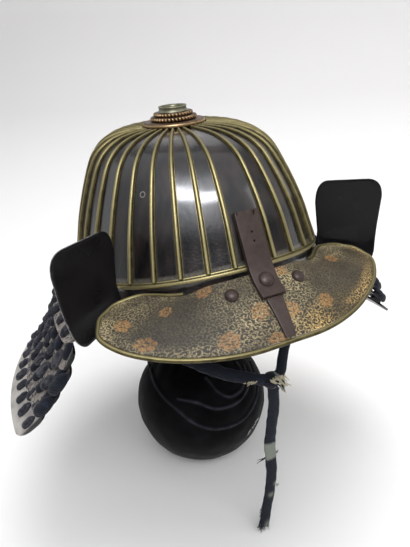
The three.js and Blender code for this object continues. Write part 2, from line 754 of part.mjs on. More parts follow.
BOWL_SECTORS.forEach(makeBowlSector);
makeRibs();
makeBands();
makeTopOrnament();
makeVisor();
makeVisorPiping();
makeVisorRivets();
await makeCrestHolder();
makeHolderTongue();
makeCheekPlates();
makeNeckGuard();
makeChinStrap();
makeStand();

const part = new THREE.Group();
part.add(helmet);

export default part;
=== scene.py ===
"""A ribbed Japanese helmet on a velvet display stand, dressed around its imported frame.

Metres, +Z up. The helmet faces -Y, and the floor is z = 0 under the stand's foot.
Sizes are in millimetres in the helmet's own frame, whose origin is the middle of
the bowl's rim, and helmet() turns them into places in the part's frame.
"""

import math
import random

import bmesh
import bpy
from mathutils import Matrix, Vector, kdtree, noise


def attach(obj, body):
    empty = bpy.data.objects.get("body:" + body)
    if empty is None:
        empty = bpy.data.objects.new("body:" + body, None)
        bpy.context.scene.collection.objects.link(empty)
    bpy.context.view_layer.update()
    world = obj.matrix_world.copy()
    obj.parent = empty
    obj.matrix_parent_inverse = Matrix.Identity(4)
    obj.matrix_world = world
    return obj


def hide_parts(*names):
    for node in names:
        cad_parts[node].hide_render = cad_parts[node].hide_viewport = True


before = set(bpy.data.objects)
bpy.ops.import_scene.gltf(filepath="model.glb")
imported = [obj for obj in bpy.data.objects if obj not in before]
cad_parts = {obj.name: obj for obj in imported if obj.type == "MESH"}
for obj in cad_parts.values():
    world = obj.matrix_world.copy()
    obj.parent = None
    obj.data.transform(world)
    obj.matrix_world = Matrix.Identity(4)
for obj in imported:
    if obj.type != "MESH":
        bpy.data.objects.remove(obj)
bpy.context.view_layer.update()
MM = 0.001
HELMET_Y = -23
HELMET_Z = 244


def helmet(x, y, z):
    return Vector((x, y + HELMET_Y, z + HELMET_Z)) * MM


# ---- camera --------------------------------------------------------------

CAMERA_POSITION = Vector((-0.1967, -0.4937, 0.4278))
CAMERA_RIGHT = Vector((0.8971, -0.4327, -0.0899))
CAMERA_UP = Vector((0.2439, 0.3151, 0.9172))
CAMERA_LENS = 37.81
CAMERA_SENSOR = 36


def camera_axes():
    right = CAMERA_RIGHT.normalized()
    back = right.cross(CAMERA_UP).normalized()
    return right, back.cross(right), back


def make_camera():
    data = bpy.data.cameras.new("camera")
    data.sensor_width = CAMERA_SENSOR
    data.lens = CAMERA_LENS
    camera = bpy.data.objects.new("camera", data)
    turn = Matrix(camera_axes()).transposed().to_4x4()
    camera.matrix_world = Matrix.Translation(CAMERA_POSITION) @ turn
    bpy.context.scene.collection.objects.link(camera)
    bpy.context.scene.camera = camera


# ---- curves and meshes ---------------------------------------------------

def smooth_curve(points, power=0.25, extend=True):
    """A function of 0 to 1 along a Catmull-Rom curve through the points."""
    points = [Vector(p) for p in points]
    first = points[0] * 2 - points[1] if extend else points[0]
    last = points[-1] * 2 - points[-2] if extend else points[-1]
    padded = [first, *points, last]

    def place(t):
        spans = len(points) - 1
        share = min(max(t, 0), 1) * spans
        span = min(int(share), spans - 1)
        share -= span
        a, b, c, d = padded[span:span + 4]
        gaps = [max((q - p).length_squared, 1e-12) ** power for p, q in ((a, b), (b, c), (c, d))]
        start = ((b - a) / gaps[0] - (c - a) / (gaps[0] + gaps[1]) + (c - b) / gaps[1]) * gaps[1]
        end = ((c - b) / gaps[1] - (d - b) / (gaps[1] + gaps[2]) + (d - c) / gaps[2]) * gaps[1]
        cubic = b * 2 - c * 2 + start + end
        square = c * 3 - b * 3 - start * 2 - end
        return b + (start + (square + cubic * share) * share) * share

    return place


def lerp(a, b, share):
    return a + (b - a) * share


def smoothstep(low, high, value):
    share = min(max((value - low) / (high - low), 0), 1)
    return share * share * (3 - 2 * share)


def mesh_from(name, vertices, faces, crease=40):
    mesh = bpy.data.meshes.new(name)
    mesh.from_pydata([tuple(v) for v in vertices], [], faces)
    work = bmesh.new()
    work.from_mesh(mesh)
    bmesh.ops.remove_doubles(work, verts=work.verts, dist=1e-6)
    bmesh.ops.recalc_face_normals(work, faces=work.faces)
    work.to_mesh(mesh)
    work.free()
    mesh.shade_smooth()
    mesh.set_sharp_from_angle(angle=math.radians(crease))
    return mesh


def loft(name, loops, ring=False, crease=40):
    """Joins equal loops of points into one closed skin; an open row gets end caps."""
    size = len(loops[0])
    rows = len(loops) if ring else len(loops) - 1
    faces = []
    for row in range(rows):
        here, after = row * size, (row + 1) % len(loops) * size
        for k in range(size):
            beside = (k + 1) % size
            faces.append((here + k, here + beside, after + beside, after + k))
    if not ring:
        last = (len(loops) - 1) * size
        faces.append(tuple(range(size)))
        faces.append(tuple(last + k for k in range(size)))
    return mesh_from(name, [p for loop in loops for p in loop], faces, crease)


def turned(name, profile, centre, segments=64, twist=None, crease=40):
    """Turns [radius, height] pairs in mm round a vertical axis through centre."""
    loops = []
    for step in range(segments):
        angle = 2 * math.pi * step / segments
        loop = []
        for index, (radius, height) in enumerate(profile):
            grown = radius + (twist(angle, index) if twist else 0)
            loop.append(centre + Vector((
                grown * math.cos(angle), grown * math.sin(angle), height,
            )) * MM)
        loops.append(loop)
    return loft(name, loops, ring=True, crease=crease)


def piece(name, mesh, material, replaces=()):
    made = bpy.data.objects.new(name, mesh)
    bpy.context.scene.collection.objects.link(made)
    for each in material if isinstance(material, (list, tuple)) else [material]:
        mesh.materials.append(each)
    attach(made, "root")
    if replaces:
        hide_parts(*replaces)
    return made


def search_tree(places):
    tree = kdtree.KDTree(len(places))
    for index, place in enumerate(places):
        tree.insert(place, index)
    tree.balance()
    return tree


def point_values(mesh, name, values):
    attribute = mesh.attributes.new(name, "FLOAT", "POINT")
    attribute.data.foreach_set("value", values)


# ---- finishes ------------------------------------------------------------

def linear(code):
    """An sRGB hex colour as a linear RGBA value."""
    channels = [int(code[k:k + 2], 16) / 255 for k in (0, 2, 4)]
    return [c / 12.92 if c <= 0.04045 else ((c + 0.055) / 1.055) ** 2.4 for c in channels] + [1]


def set_inputs(tree, target, inputs):
    """Fills inputs with values, hex colours, sockets, or nodes' first live outputs."""
    for name, value in inputs.items():
        if isinstance(value, str):
            value = linear(value)
        if isinstance(value, bpy.types.Node):
            value = next(output for output in value.outputs if output.enabled)
        if isinstance(value, bpy.types.NodeSocket):
            tree.links.new(value, target.inputs[name])
        else:
            target.inputs[name].default_value = value


def node(tree, kind, inputs=None, **settings):
    made = tree.nodes.new(kind)
    for name, value in settings.items():
        setattr(made, name, value)
    set_inputs(tree, made, inputs or {})
    return made


def new_finish(name, **sockets):
    """A material, its node tree and a place in metres; the sockets are its shader's own."""
    material = bpy.data.materials.new(name)
    material.use_nodes = True
    tree = material.node_tree
    values = {socket.replace("_", " "): value for socket, value in sockets.items()}
    set_inputs(tree, tree.nodes["Principled BSDF"], values)
    return material, tree, node(tree, "ShaderNodeTexCoord").outputs["Object"]


def surface(material, colour, relief=None, roughness=None):
    """Gives a material's shader its patterns and returns the finished material."""
    tree = material.node_tree
    patterns = {"Base Color": colour, "Normal": relief, "Roughness": roughness}
    given = {name: pattern for name, pattern in patterns.items() if pattern}
    set_inputs(tree, tree.nodes["Principled BSDF"], given)
    return material


def lumps(width):
    """The scale of a noise or cell texture whose lumps are about that wide, in mm."""
    return 1 / (width * MM)


DIAGONAL_WAVE = 2 * math.pi / (10 * math.sqrt(3))  # spacing of a diagonal wave at scale 1
BRAID_RIB = 1.1336  # mm between the slanting ribs of the braid


def black_lacquer():
    """Urushi brushed over iron: nearly black, brown where it has worn thin, with a
    soft gloss that is duller in vertical streaks, a chalky line where a plate meets
    its ribs and rim, pits towards the rim, and one chip down to the iron."""
    material, tree, place = new_finish(
        "urushi lacquer", IOR=1.42, Coat_Weight=0.8, Coat_Roughness=0.12,
    )
    streaks = node(tree, "ShaderNodeMapping", {"Vector": place, "Scale": (1, 1, 0.12)})
    wear = node(tree, "ShaderNodeTexNoise", {"Vector": streaks, "Scale": lumps(11.11), "Detail": 4})
    worn = node(tree, "ShaderNodeMapRange", {0: wear, 1: 0.42, 2: 0.66})
    colour = node(tree, "ShaderNodeMix", {0: worn, 6: "080708", 7: "231917"}, data_type="RGBA")
    pits = node(tree, "ShaderNodeTexNoise", {"Vector": place, "Scale": lumps(2.381), "Detail": 3})
    edge = node(tree, "ShaderNodeAttribute", attribute_name="plate_edge")
    chalk = node(tree, "ShaderNodeMath", {0: edge.outputs["Fac"], 1: pits}, operation="MULTIPLY")
    edged = node(tree, "ShaderNodeMix", {0: chalk, 6: colour, 7: "958f80"}, data_type="RGBA")
    chip = node(tree, "ShaderNodeVectorMath", {0: place, 1: tuple(CHIP)}, operation="DISTANCE")
    pale = node(tree, "ShaderNodeMapRange", {0: chip, 1: 2.7 * MM, 2: 2.1 * MM})
    chipped = node(tree, "ShaderNodeMix", {0: pale, 6: edged, 7: "8a8478"}, data_type="RGBA")
    hole = node(tree, "ShaderNodeMapRange", {0: chip, 1: 2.1 * MM, 2: 1.6 * MM})
    holed = node(tree, "ShaderNodeMix", {0: hole, 6: chipped, 7: "020202"}, data_type="RGBA")
    gloss = node(tree, "ShaderNodeMapRange", {0: wear, 1: 0.3, 2: 0.7, 3: 0.26, 4: 0.4})
    height = node(tree, "ShaderNodeSeparateXYZ", {0: place})
    low = node(tree, "ShaderNodeMapRange", {0: height.outputs[2], 1: PITS_END, 2: PITS_FULL})
    pitted = node(tree, "ShaderNodeMath", {0: pits, 1: low}, operation="MULTIPLY")
    ripple = node(tree, "ShaderNodeMath", {0: pitted, 1: wear}, operation="ADD")
    bump = node(tree, "ShaderNodeBump", {"Height": ripple, "Strength": 0.4, "Distance": 0.0009})
    return surface(material, holed, bump, gloss)


def plain_lacquer():
    """Lacquered leather: black, softly glossy in broad patches, rubbed to a thin
    pale line where a plate's edge has been handled."""
    material, tree, place = new_finish("lacquered leather", IOR=1.25)
    blotch = node(tree, "ShaderNodeTexNoise", {"Vector": place, "Scale": lumps(35.71), "Detail": 3})
    colour = node(tree, "ShaderNodeMix", {0: blotch, 6: "050506", 7: "151315"}, data_type="RGBA")
    edge = node(tree, "ShaderNodeAttribute", attribute_name="worn_edge")
    grit = node(tree, "ShaderNodeTexNoise", {"Vector": place, "Scale": lumps(3.846), "Detail": 3})
    kept = node(tree, "ShaderNodeMapRange", {0: grit, 1: 0.35, 2: 0.6})
    rubbed = node(tree, "ShaderNodeMath", {0: edge.outputs["Fac"], 1: kept}, operation="MULTIPLY")
    edged = node(tree, "ShaderNodeMix", {0: rubbed, 6: colour, 7: "8d8a88"}, data_type="RGBA")
    gloss = node(tree, "ShaderNodeMapRange", {0: blotch, 1: 0.4, 2: 0.6, 3: 0.2, 4: 0.4})
    ripple = node(tree, "ShaderNodeTexNoise", {"Vector": place, "Scale": lumps(16.67), "Detail": 2})
    bump = node(tree, "ShaderNodeBump", {"Height": ripple, "Strength": 0.12, "Distance": 0.002})
    return surface(material, edged, bump, gloss)


def patinated_metal(name, dull, bright, dark, roughness=0.42):
    """Cast and filed metal: a dull patina, darker in random spots, and lighter where the
    piece's own crest value is high: rubbed bright on ribs, rings and rim, and on the
    visor's bead a painted highlight along its upper side."""
    material, tree, place = new_finish(name, Metallic=0.9, Roughness=roughness)
    mottle = node(tree, "ShaderNodeTexNoise", {"Vector": place, "Scale": lumps(6.25), "Detail": 4})
    spots = node(tree, "ShaderNodeMapRange", {0: mottle, 1: 0.35, 2: 0.7})
    base = node(tree, "ShaderNodeMix", {0: spots, 6: dull, 7: dark}, data_type="RGBA")
    # crest: rubbed wear, and on the visor's bead a painted highlight on its upper side.
    crest = node(tree, "ShaderNodeAttribute", attribute_name="crest")
    rubbed = node(tree, "ShaderNodeMix", {
        0: crest.outputs["Fac"], 6: base, 7: bright,
    }, data_type="RGBA")
    bump = node(tree, "ShaderNodeBump", {"Height": mottle, "Strength": 0.25, "Distance": 0.0004})
    return surface(material, rubbed, bump)


def russet_iron():
    """Iron rusted russet and sealed: purple-brown, matt, softly mottled."""
    material, tree, place = new_finish("russet iron", Metallic=0.25, Roughness=0.48)
    mottle = node(tree, "ShaderNodeTexNoise", {"Vector": place, "Scale": lumps(4.545), "Detail": 5})
    colour = node(tree, "ShaderNodeMix", {0: mottle, 6: "1f1411", 7: "43332c"}, data_type="RGBA")
    bump = node(tree, "ShaderNodeBump", {"Height": mottle, "Strength": 0.3, "Distance": 0.0004})
    return surface(material, colour, bump)


def stencilled_leather():
    """Smoked leather under a stencil of gold scrolls and copper flowers, both worn
    away in patches down to the grey-brown ground, which is crazed. Towards the
    wearer's left and the visor's free edge the gold is lighter, a painted highlight.
    The grain and the crazing are drawn coarser than they are, so that they show."""
    material, tree, place = new_finish("stencilled leather", IOR=1.4, Roughness=0.62)
    grain = node(tree, "ShaderNodeTexNoise", {"Vector": place, "Scale": lumps(1.538), "Detail": 4})
    patches = node(tree, "ShaderNodeTexNoise", {"Vector": place, "Scale": lumps(22.22), "Detail": 4})
    crazing = node(tree, "ShaderNodeTexVoronoi", {
        "Vector": place, "Scale": lumps(2.381),
    }, feature="DISTANCE_TO_EDGE")
    crack = node(tree, "ShaderNodeMapRange", {0: crazing, 1: 0.0, 2: 0.12, 3: 0.45, 4: 1})
    ground = node(tree, "ShaderNodeMix", {0: patches, 6: "2b261b", 7: "5e5541"}, data_type="RGBA")
    speckled = node(tree, "ShaderNodeMix", {0: grain, 6: "15120f", 7: ground}, data_type="RGBA")
    cracked = node(tree, "ShaderNodeMix", {0: crack, 6: "191612", 7: speckled}, data_type="RGBA")
    scroll = node(tree, "ShaderNodeAttribute", attribute_name="scroll")
    flaked = node(tree, "ShaderNodeMapRange", {0: grain, 1: 0.38, 2: 0.52, 3: 0.3, 4: 1})
    gilt = node(tree, "ShaderNodeMath", {0: scroll.outputs["Fac"], 1: flaked}, operation="MULTIPLY")
    # bright: a painted highlight that lightens the gold towards the wearer's left and the visor's free
    # edge.
    bright = node(tree, "ShaderNodeAttribute", attribute_name="bright")
    gold = node(tree, "ShaderNodeMix", {
        0: bright.outputs["Fac"], 6: "bdb08a", 7: "e6bf72",
    }, data_type="RGBA")
    with_scroll = node(tree, "ShaderNodeMix", {0: gilt, 6: cracked, 7: gold}, data_type="RGBA")
    flower = node(tree, "ShaderNodeAttribute", attribute_name="flower")
    petals = node(tree, "ShaderNodeMath", {0: flower.outputs["Fac"], 1: flaked}, operation="MULTIPLY")
    copper = node(tree, "ShaderNodeMix", {0: patches, 6: "6c482c", 7: "b0834a"}, data_type="RGBA")
    with_flower = node(tree, "ShaderNodeMix", {0: petals, 6: with_scroll, 7: copper}, data_type="RGBA")
    relief = node(tree, "ShaderNodeMath", {0: gilt, 1: crack}, operation="ADD")
    bump = node(tree, "ShaderNodeBump", {"Height": relief, "Strength": 0.35, "Distance": 0.0003})
    return surface(material, with_flower, bump)


def cotton_braid(name, dark, pale, frayed, worn_share):
    """Flat cotton braid: slanting ribs, drawn coarser than they are so that they show,
    darkened between the ribs by painted shade in the grooves, faded in patches, and
    frayed to pale threads where the piece's own patch value is high."""
    material, tree, place = new_finish(name, Roughness=0.95, IOR=1.3, Sheen_Weight=0.08)
    ribs = node(tree, "ShaderNodeTexWave", {
        "Vector": place, "Scale": DIAGONAL_WAVE / (BRAID_RIB * MM), "Distortion": 3, "Detail": 2,
    }, bands_direction="DIAGONAL")
    fade = node(tree, "ShaderNodeTexNoise", {"Vector": place, "Scale": lumps(9.091), "Detail": 5})
    worn = node(tree, "ShaderNodeMapRange", {
        0: fade, 1: 0.62 - worn_share * 0.3, 2: 0.75 - worn_share * 0.3,
    })
    colour = node(tree, "ShaderNodeMix", {0: worn, 6: dark, 7: pale}, data_type="RGBA")
    # Painted shade: the braid goes near black in the grooves between its ribs.
    threads = node(tree, "ShaderNodeMix", {
        0: ribs.outputs[1], 6: "0a0d16", 7: colour,
    }, data_type="RGBA")
    attribute = node(tree, "ShaderNodeAttribute", attribute_name="patch")
    patched = node(tree, "ShaderNodeMix", {
        0: attribute.outputs["Fac"], 6: threads, 7: frayed,
    }, data_type="RGBA")
    relief = node(tree, "ShaderNodeMath", {0: ribs.outputs[1], 1: fade}, operation="ADD")
    bump = node(tree, "ShaderNodeBump", {"Height": relief, "Strength": 0.6, "Distance": 0.0008})
    return surface(material, patched, bump)


def laced_ground():
    """What shows of a lame between its knots: frayed pale threads over dark lacquer,
    with painted shade darkening the lame's two ends."""
    material, tree, place = new_finish("worn lacing ground", Roughness=0.85, IOR=1.4)
    threads = node(tree, "ShaderNodeTexNoise", {
        "Vector": place, "Scale": lumps(3.846), "Detail": 6, "Distortion": 1.5,
    })
    shown = node(tree, "ShaderNodeMapRange", {0: threads, 1: 0.38, 2: 0.56})
    colour = node(tree, "ShaderNodeMix", {0: shown, 6: "232122", 7: "857e77"}, data_type="RGBA")
    # Painted shade on the lame's two ends.
    end_shade = node(tree, "ShaderNodeAttribute", attribute_name="painted_end_shade")
    ended = node(tree, "ShaderNodeMix", {
        0: end_shade.outputs["Fac"], 6: colour, 7: "131317",
    }, data_type="RGBA")
    bump = node(tree, "ShaderNodeBump", {"Height": threads, "Strength": 0.6, "Distance": 0.001})
    return surface(material, ended, bump)


def worn_lame():
    """The plain bottom lame: lacquer rubbed to a pale grey outside, with painted shade darkening its
    two ends.
    """
    material, tree, place = new_finish("rubbed lame", Roughness=0.5)
    rubbing = node(tree, "ShaderNodeTexNoise", {"Vector": place, "Scale": lumps(14.29), "Detail": 5})
    shown = node(tree, "ShaderNodeMapRange", {0: rubbing, 1: 0.3, 2: 0.62})
    colour = node(tree, "ShaderNodeMix", {0: shown, 6: "807c78", 7: "aca7a0"}, data_type="RGBA")
    # Painted shade on the lame's two ends.
    end_shade = node(tree, "ShaderNodeAttribute", attribute_name="painted_end_shade")
    ended = node(tree, "ShaderNodeMix", {
        0: end_shade.outputs["Fac"], 6: colour, 7: "1b1a1b",
    }, data_type="RGBA")
    bump = node(tree, "ShaderNodeBump", {"Height": rubbing, "Strength": 0.3, "Distance": 0.001})
    return surface(material, ended, bump)


def black_velvet():
    """Cotton velvet: its pile swallows light face on and glows a little at grazing
    angles; dust greys it in patches and lint has caught in one crease. The pale
    lines along the ridges of the folds are a painted sheen. The pile is drawn
    coarser than it is, so that it shows."""
    material, tree, place = new_finish(
        "cotton velvet", Roughness=1, IOR=1.2, Sheen_Weight=0.1, Sheen_Roughness=0.4,
    )
    pile = node(tree, "ShaderNodeTexNoise", {"Vector": place, "Scale": lumps(1.111), "Detail": 3})
    dust = node(tree, "ShaderNodeTexNoise", {"Vector": place, "Scale": lumps(25), "Detail": 5})
    dusty = node(tree, "ShaderNodeMapRange", {0: dust, 1: 0.4, 2: 0.75})
    colour = node(tree, "ShaderNodeMix", {0: dusty, 6: "030304", 7: "0e0e10"}, data_type="RGBA")
    # Painted sheen: a pale grey line along the ridge of each fold.
    fold_sheen = node(tree, "ShaderNodeAttribute", attribute_name="fold_sheen")
    with_fold_sheen = node(tree, "ShaderNodeMix", {
        0: fold_sheen.outputs["Fac"], 6: colour, 7: "3c3d46",
    }, data_type="RGBA")
    lint = node(tree, "ShaderNodeAttribute", attribute_name="lint")
    linty = node(tree, "ShaderNodeMix", {
        0: lint.outputs["Fac"], 6: with_fold_sheen, 7: "b9b6b0",
    }, data_type="RGBA")
    bump = node(tree, "ShaderNodeBump", {"Height": pile, "Strength": 0.5, "Distance": 0.0006})
    return surface(material, linty, bump)


def stained_wood():
    """Turned wood stained black: satin, with a faint grain along the post."""
    material, tree, place = new_finish("stained wood", Roughness=0.55, IOR=1.5)
    along = node(tree, "ShaderNodeMapping", {"Vector": place, "Scale": (1, 1, 0.08)})
    grain = node(tree, "ShaderNodeTexNoise", {"Vector": along, "Scale": lumps(2), "Detail": 4})
    colour = node(tree, "ShaderNodeMix", {0: grain, 6: "0f0d0c", 7: "2a2421"}, data_type="RGBA")
    bump = node(tree, "ShaderNodeBump", {"Height": grain, "Strength": 0.2, "Distance": 0.0004})
    return surface(material, colour, bump)


CHIP = helmet(-63, -60, 73)
PITS_END, PITS_FULL = helmet(0, 0, 61).z, helmet(0, 0, 18).z
LACQUER = black_lacquer()
LEATHER_LACQUER = plain_lacquer()
BRASS = patinated_metal("aged brass", "5d5537", "9d9268", "2e2917", 0.47)
COPPER = patinated_metal("worn gilt copper", "705a45", "b2966f", "3c2e23", 0.42)
VERDIGRIS = patinated_metal("grey-green brass", "7c7b66", "a9a78e", "55543f", 0.45)
IRON = russet_iron()
STENCIL = stencilled_leather()
BRAID = cotton_braid("navy braid", "0e1421", "232c3b", "757a70", 0.1)
THREADS = cotton_braid("loose threads", "10182a", "1d2740", "c9c0a4", 0.1)
LACING = cotton_braid("navy lacing", "0b1120", "1e2940", "67656a", 0.12)
LACED_GROUND = laced_ground()
RUBBED = worn_lame()
VELVET = black_velvet()
WOOD = stained_wood()

# ---- bowl ----------------------------------------------------------------

HALF_WIDTH = 105.8
FRONT = 117.9
BACK = 124.9
FRONT_LIFT = 18.2
BOWL_WALL = 2
CROWN_Y = 15.8
CROWN_Z = 109.2
CROWN_HOLE = 11
REAR_FULLNESS = 0.15
MERIDIAN = smooth_curve([
    (1.0, 0.0), (0.965, 0.14), (0.91, 0.36), (0.815, 0.63),
    (0.71, 0.84), (0.56, 0.95), (0.37, 0.99), (0.1, 1.0),
], power=0, extend=False)
PLATES_PER_SIDE = 15
FRONT_PLATE = 18.5
PLATE_STEP = 11.05
PLATE_GROWTH = 0.025
BOWL_NODES = ["bowl_front", "bowl_left", "bowl_right"]
PLATE_FLATNESS = 0.4  # mm that the middle of a plate lies inside the round


def rib_angle(k):
    return math.radians(FRONT_PLATE / 2 + PLATE_STEP * k + PLATE_GROWTH * k * k)


RIB_ANGLES = [rib_angle(k) for k in range(PLATES_PER_SIDE)]
ALL_RIBS = RIB_ANGLES + [2 * math.pi - angle for angle in reversed(RIB_ANGLES)]


def bowl_point(angle, along):
    reach, height = MERIDIAN(along)
    forward = math.cos(angle)
    full = 1 - REAR_FULLNESS * forward * height ** 2 * (1 - reach)
    rim_y = -(FRONT if forward > 0 else BACK) * forward
    lift = FRONT_LIFT * max(forward, 0) ** 2
    return Vector((
        HALF_WIDTH * math.sin(angle) * reach * full,
        CROWN_Y + (rim_y - CROWN_Y) * reach * full,
        lift * (1 - height) + CROWN_Z * height,
    ))


def bowl_frame(angle, along):
    """The bowl's surface there: the point, and its across, up and outward directions."""
    step = 1e-3
    here = bowl_point(angle, along)
    above = min(along + step, 1)
    up = (bowl_point(angle, above) - bowl_point(angle, above - step)).normalized()
    across = (bowl_point(angle + step, along) - bowl_point(angle - step, along)).normalized()
    outward = across.cross(up).normalized()
    return here, up.cross(outward), up, outward


def bowl_limit(angle, radius):
    """How far along the meridian lies a circle of that radius round the crown."""
    along = 1
    while along > 0:
        here = bowl_point(angle, along)
        if math.hypot(here.x, here.y - CROWN_Y) > radius:
            return along
        along -= 0.002
    return 0


def make_bowl():
    rows, plate_columns = 80, 10
    columns = []
    for index, start in enumerate(ALL_RIBS):
        end = ALL_RIBS[(index + 1) % len(ALL_RIBS)]
        end += 2 * math.pi if end < start else 0
        shares = [step / plate_columns for step in range(plate_columns)]
        columns += [(lerp(start, end, share), share) for share in shares]
    loops, edges = [], []
    for angle, share in columns:
        top = bowl_limit(angle, CROWN_HOLE)
        outer, inner = [], []
        for row in range(rows + 1):
            here, _, _, outward = bowl_frame(angle, top * (row / rows) ** 0.9)
            fade = smoothstep(1, 0.75, row / rows)
            sunk = PLATE_FLATNESS * 4 * share * (1 - share) * fade
            outer.append(helmet(*(here - outward * sunk)))
            inner.append(helmet(*(here - outward * BOWL_WALL)))
            beside_rib = smoothstep(0.2, 0.14, min(share, 1 - share))
            beside_rib *= smoothstep(0.4, 0.05, row / rows)
            beside_rim = smoothstep(0.05, 0.03, row / rows)
            edges.append(max(beside_rib * 0.3, beside_rim * 0.55))
        edges += [0.0] * (rows + 1)
        loops.append(outer + inner[::-1])
    mesh = loft("bowl", loops, ring=True)
    point_values(mesh, "plate_edge", edges)
    piece("bowl", mesh, LACQUER, BOWL_NODES)


RIB_WIDTH = 4.1
RIB_HEIGHT = 2.9
RIB_TOP_SCALE = 0.55
RIB_FLANGE = 0.5
RIB_GAP = 0.1
FLANGE_RADIUS = 27.9


def rib_section():
    """Half of a rib's round section with its thin foot, as (side, height, crest)."""
    points = [(-0.5 - RIB_FLANGE / RIB_WIDTH, 0, 0), (-0.5 - RIB_FLANGE / RIB_WIDTH, 0.14, 0.5)]
    for degrees in range(0, 181, 18):
        turn = math.radians(degrees)
        crest = max(math.sin(turn), 0)
        points.append((-0.5 * math.cos(turn), 0.16 + 0.84 * crest, crest ** 3))
    return points + [(-side, height, crest) for side, height, crest in reversed(points[:2])]


def make_rib(name, angle, node_name):
    section = rib_section()
    tip = bowl_limit(angle, FLANGE_RADIUS + 0.5)
    stations = 46
    loops, crests = [], []
    for row in range(stations + 1):
        along = lerp(0.02, tip, row / stations)
        here, across, _, outward = bowl_frame(angle, along)
        scale = lerp(1, RIB_TOP_SCALE, along ** 1.5)
        loops.append([
            helmet(*(here + across * side * RIB_WIDTH * scale
                     + outward * (RIB_GAP + height * RIB_HEIGHT * scale)))
            for side, height, _ in section
        ])
        crests += [crest for _, _, crest in section]
    mesh = loft(name, loops, crease=50)
    point_values(mesh, "crest", crests)
    piece(name, mesh, BRASS, [node_name])


def make_ribs():
    for k, angle in enumerate(RIB_ANGLES):
        make_rib(f"brass_rib_left_{k + 1:02d}", angle, f"rib_left_{k + 1:02d}")
        make_rib(f"brass_rib_right_{k + 1:02d}", -angle, f"rib_right_{k + 1:02d}")


def rim_ring(name, section, columns=240):
    """A ring round the bowl's rim; section gives (outward, height, crest) there."""
    loops, crests = [], []
    for column in range(columns):
        angle = 2 * math.pi * column / columns
        here, across, _, _ = bowl_frame(angle, 0.001)
        outward = Vector((across.y, -across.x, 0)).normalized()
        loop = []
        for out, height, crest in section(here.z):
            point = here + outward * out
            loop.append(helmet(point.x, point.y, height))
            crests.append(crest)
        loops.append(loop)
    mesh = loft(name, loops, ring=True, crease=50)
    point_values(mesh, "crest", crests)
    return mesh


RIM_BEAD_RADIUS = 1.9
LOWER_BAND_FOOT = -15
LOWER_BAND_WALL = 1.8


def make_bands():
    def rim(z):
        bead = []
        for degrees in range(-90, 91, 18):
            turn = math.radians(degrees)
            out = 0.9 + RIM_BEAD_RADIUS * math.cos(turn)
            height = z - 1.4 + RIM_BEAD_RADIUS * math.sin(turn)
            bead.append((out, height, max(math.cos(turn), 0) ** 2))
        lip = [(0.75, z + 1.1, 0.8), (0.15, z + 1.5, 0.3)]
        return [(0.15, z - 3.5, 0), *bead, *lip]

    def lower(z):
        top, wall, foot = z - 0.3, -LOWER_BAND_WALL, LOWER_BAND_FOOT
        return [(0, top, 0), (0, foot, 0), (wall, foot, 0), (wall, top, 0)]

    piece("rim_bead", rim_ring("rim_bead", rim), BRASS, ["bowl_rim_band"])
    skin = rim_ring("lower_band_skin", lower)
    piece("lower_band_skin", skin, LACQUER, ["lower_band"])


# ---- top ornament --------------------------------------------------------

def rub_bright(mesh, axis, outer, depth):
    """Marks what stands furthest out from a vertical axis as rubbed bright."""
    values = []
    for vertex in mesh.vertices:
        away = math.hypot(vertex.co.x - axis.x, vertex.co.y - axis.y) / MM
        values.append(smoothstep(outer - depth, outer, away))
    point_values(mesh, "crest", values)


RING_GAP = 0.35
# The flared collar's [radius, height above its foot] in mm.
COLLAR_SECTION = [
    (9.6, 0), (12.8, 0), (12.5, 1.2), (12.2, 2.4), (12.3, 3.3), (12.7, 3.9),
    (12.6, 4.4), (12.1, 4.6), (11.0, 4.5), (10.3, 4.0), (9.8, 2.6),
]


def make_top_ornament():
    axis = helmet(0, CROWN_Y, CROWN_Z)

    def round_edge(inner, outer, bottom, height, points=9):
        radius = height / 2
        edge = []
        for step in range(points):
            turn = math.pi * (step / (points - 1) - 0.5)
            out = outer - radius + radius * math.cos(turn)
            edge.append((out, bottom + radius + radius * math.sin(turn)))
        return [(inner, bottom), *edge, (inner, bottom + height)]

    def rope(strands, depth, slant):
        def twist(angle, index):
            if not 0 < index < 10:
                return 0
            return -depth * (0.5 + 0.5 * math.cos(strands * angle + index * slant)) ** 2
        return twist

    bottom = RING_GAP
    # Each ring: its piece and node, inner and outer radius, height, and twist if roped.
    rings = [
        ("flange_ring", "top_flange", 11.5, 27.9, 4.2, None),
        ("rope_ring_lower", "top_lower_ring", 11.5, 20.8, 3.5, rope(40, 1.3, 0.25)),
        ("rope_ring_upper", "top_upper_ring", 11.0, 17.7, 3.0, rope(34, 1.2, 0.25)),
    ]
    for name, node_name, inner, outer, height, twist in rings:
        profile = round_edge(inner, outer, bottom, height)
        mesh = turned(name, profile, axis, segments=320 if twist else 128, twist=twist)
        rub_bright(mesh, axis, outer, 1.0 if twist else 0.8)
        piece(name, mesh, COPPER, [node_name])
        bottom += height + RING_GAP
    collar = [(radius, bottom + height) for radius, height in COLLAR_SECTION]
    mesh = turned("collar_ring", collar, axis, segments=96)
    rub_bright(mesh, axis, 12.8, 0.5)
    piece("collar_ring", mesh, VERDIGRIS, ["top_collar"])


# ---- visor ---------------------------------------------------------------

VISOR_INNER_HALF = [
    (0, -121.6, 12.6), (20, -120.2, 12.0), (39, -114.6, 9.6), (58, -107.6, 4.0),
    (68, -98.2, 2.6), (85, -81.6, 1.0), (103, -79.4, -1.8),
]
VISOR_OUTER_HALF = [
    (0, -162.5, -25.2), (32.1, -161.6, -25.2), (61.3, -153.0, -24.5), (90.0, -136.8, -22.9),
    (112.7, -118.4, -18.0), (122.6, -101.0, -11.6), (117.0, -87.4, -6.0),
]
VISOR_THICKNESS = 2
VISOR_CROWN = 3
WING_END = 0.998


def mirrored_curve(half):
    other = [(-x, y, z) for x, y, z in reversed(half[1:])]
    return smooth_curve(other + half)


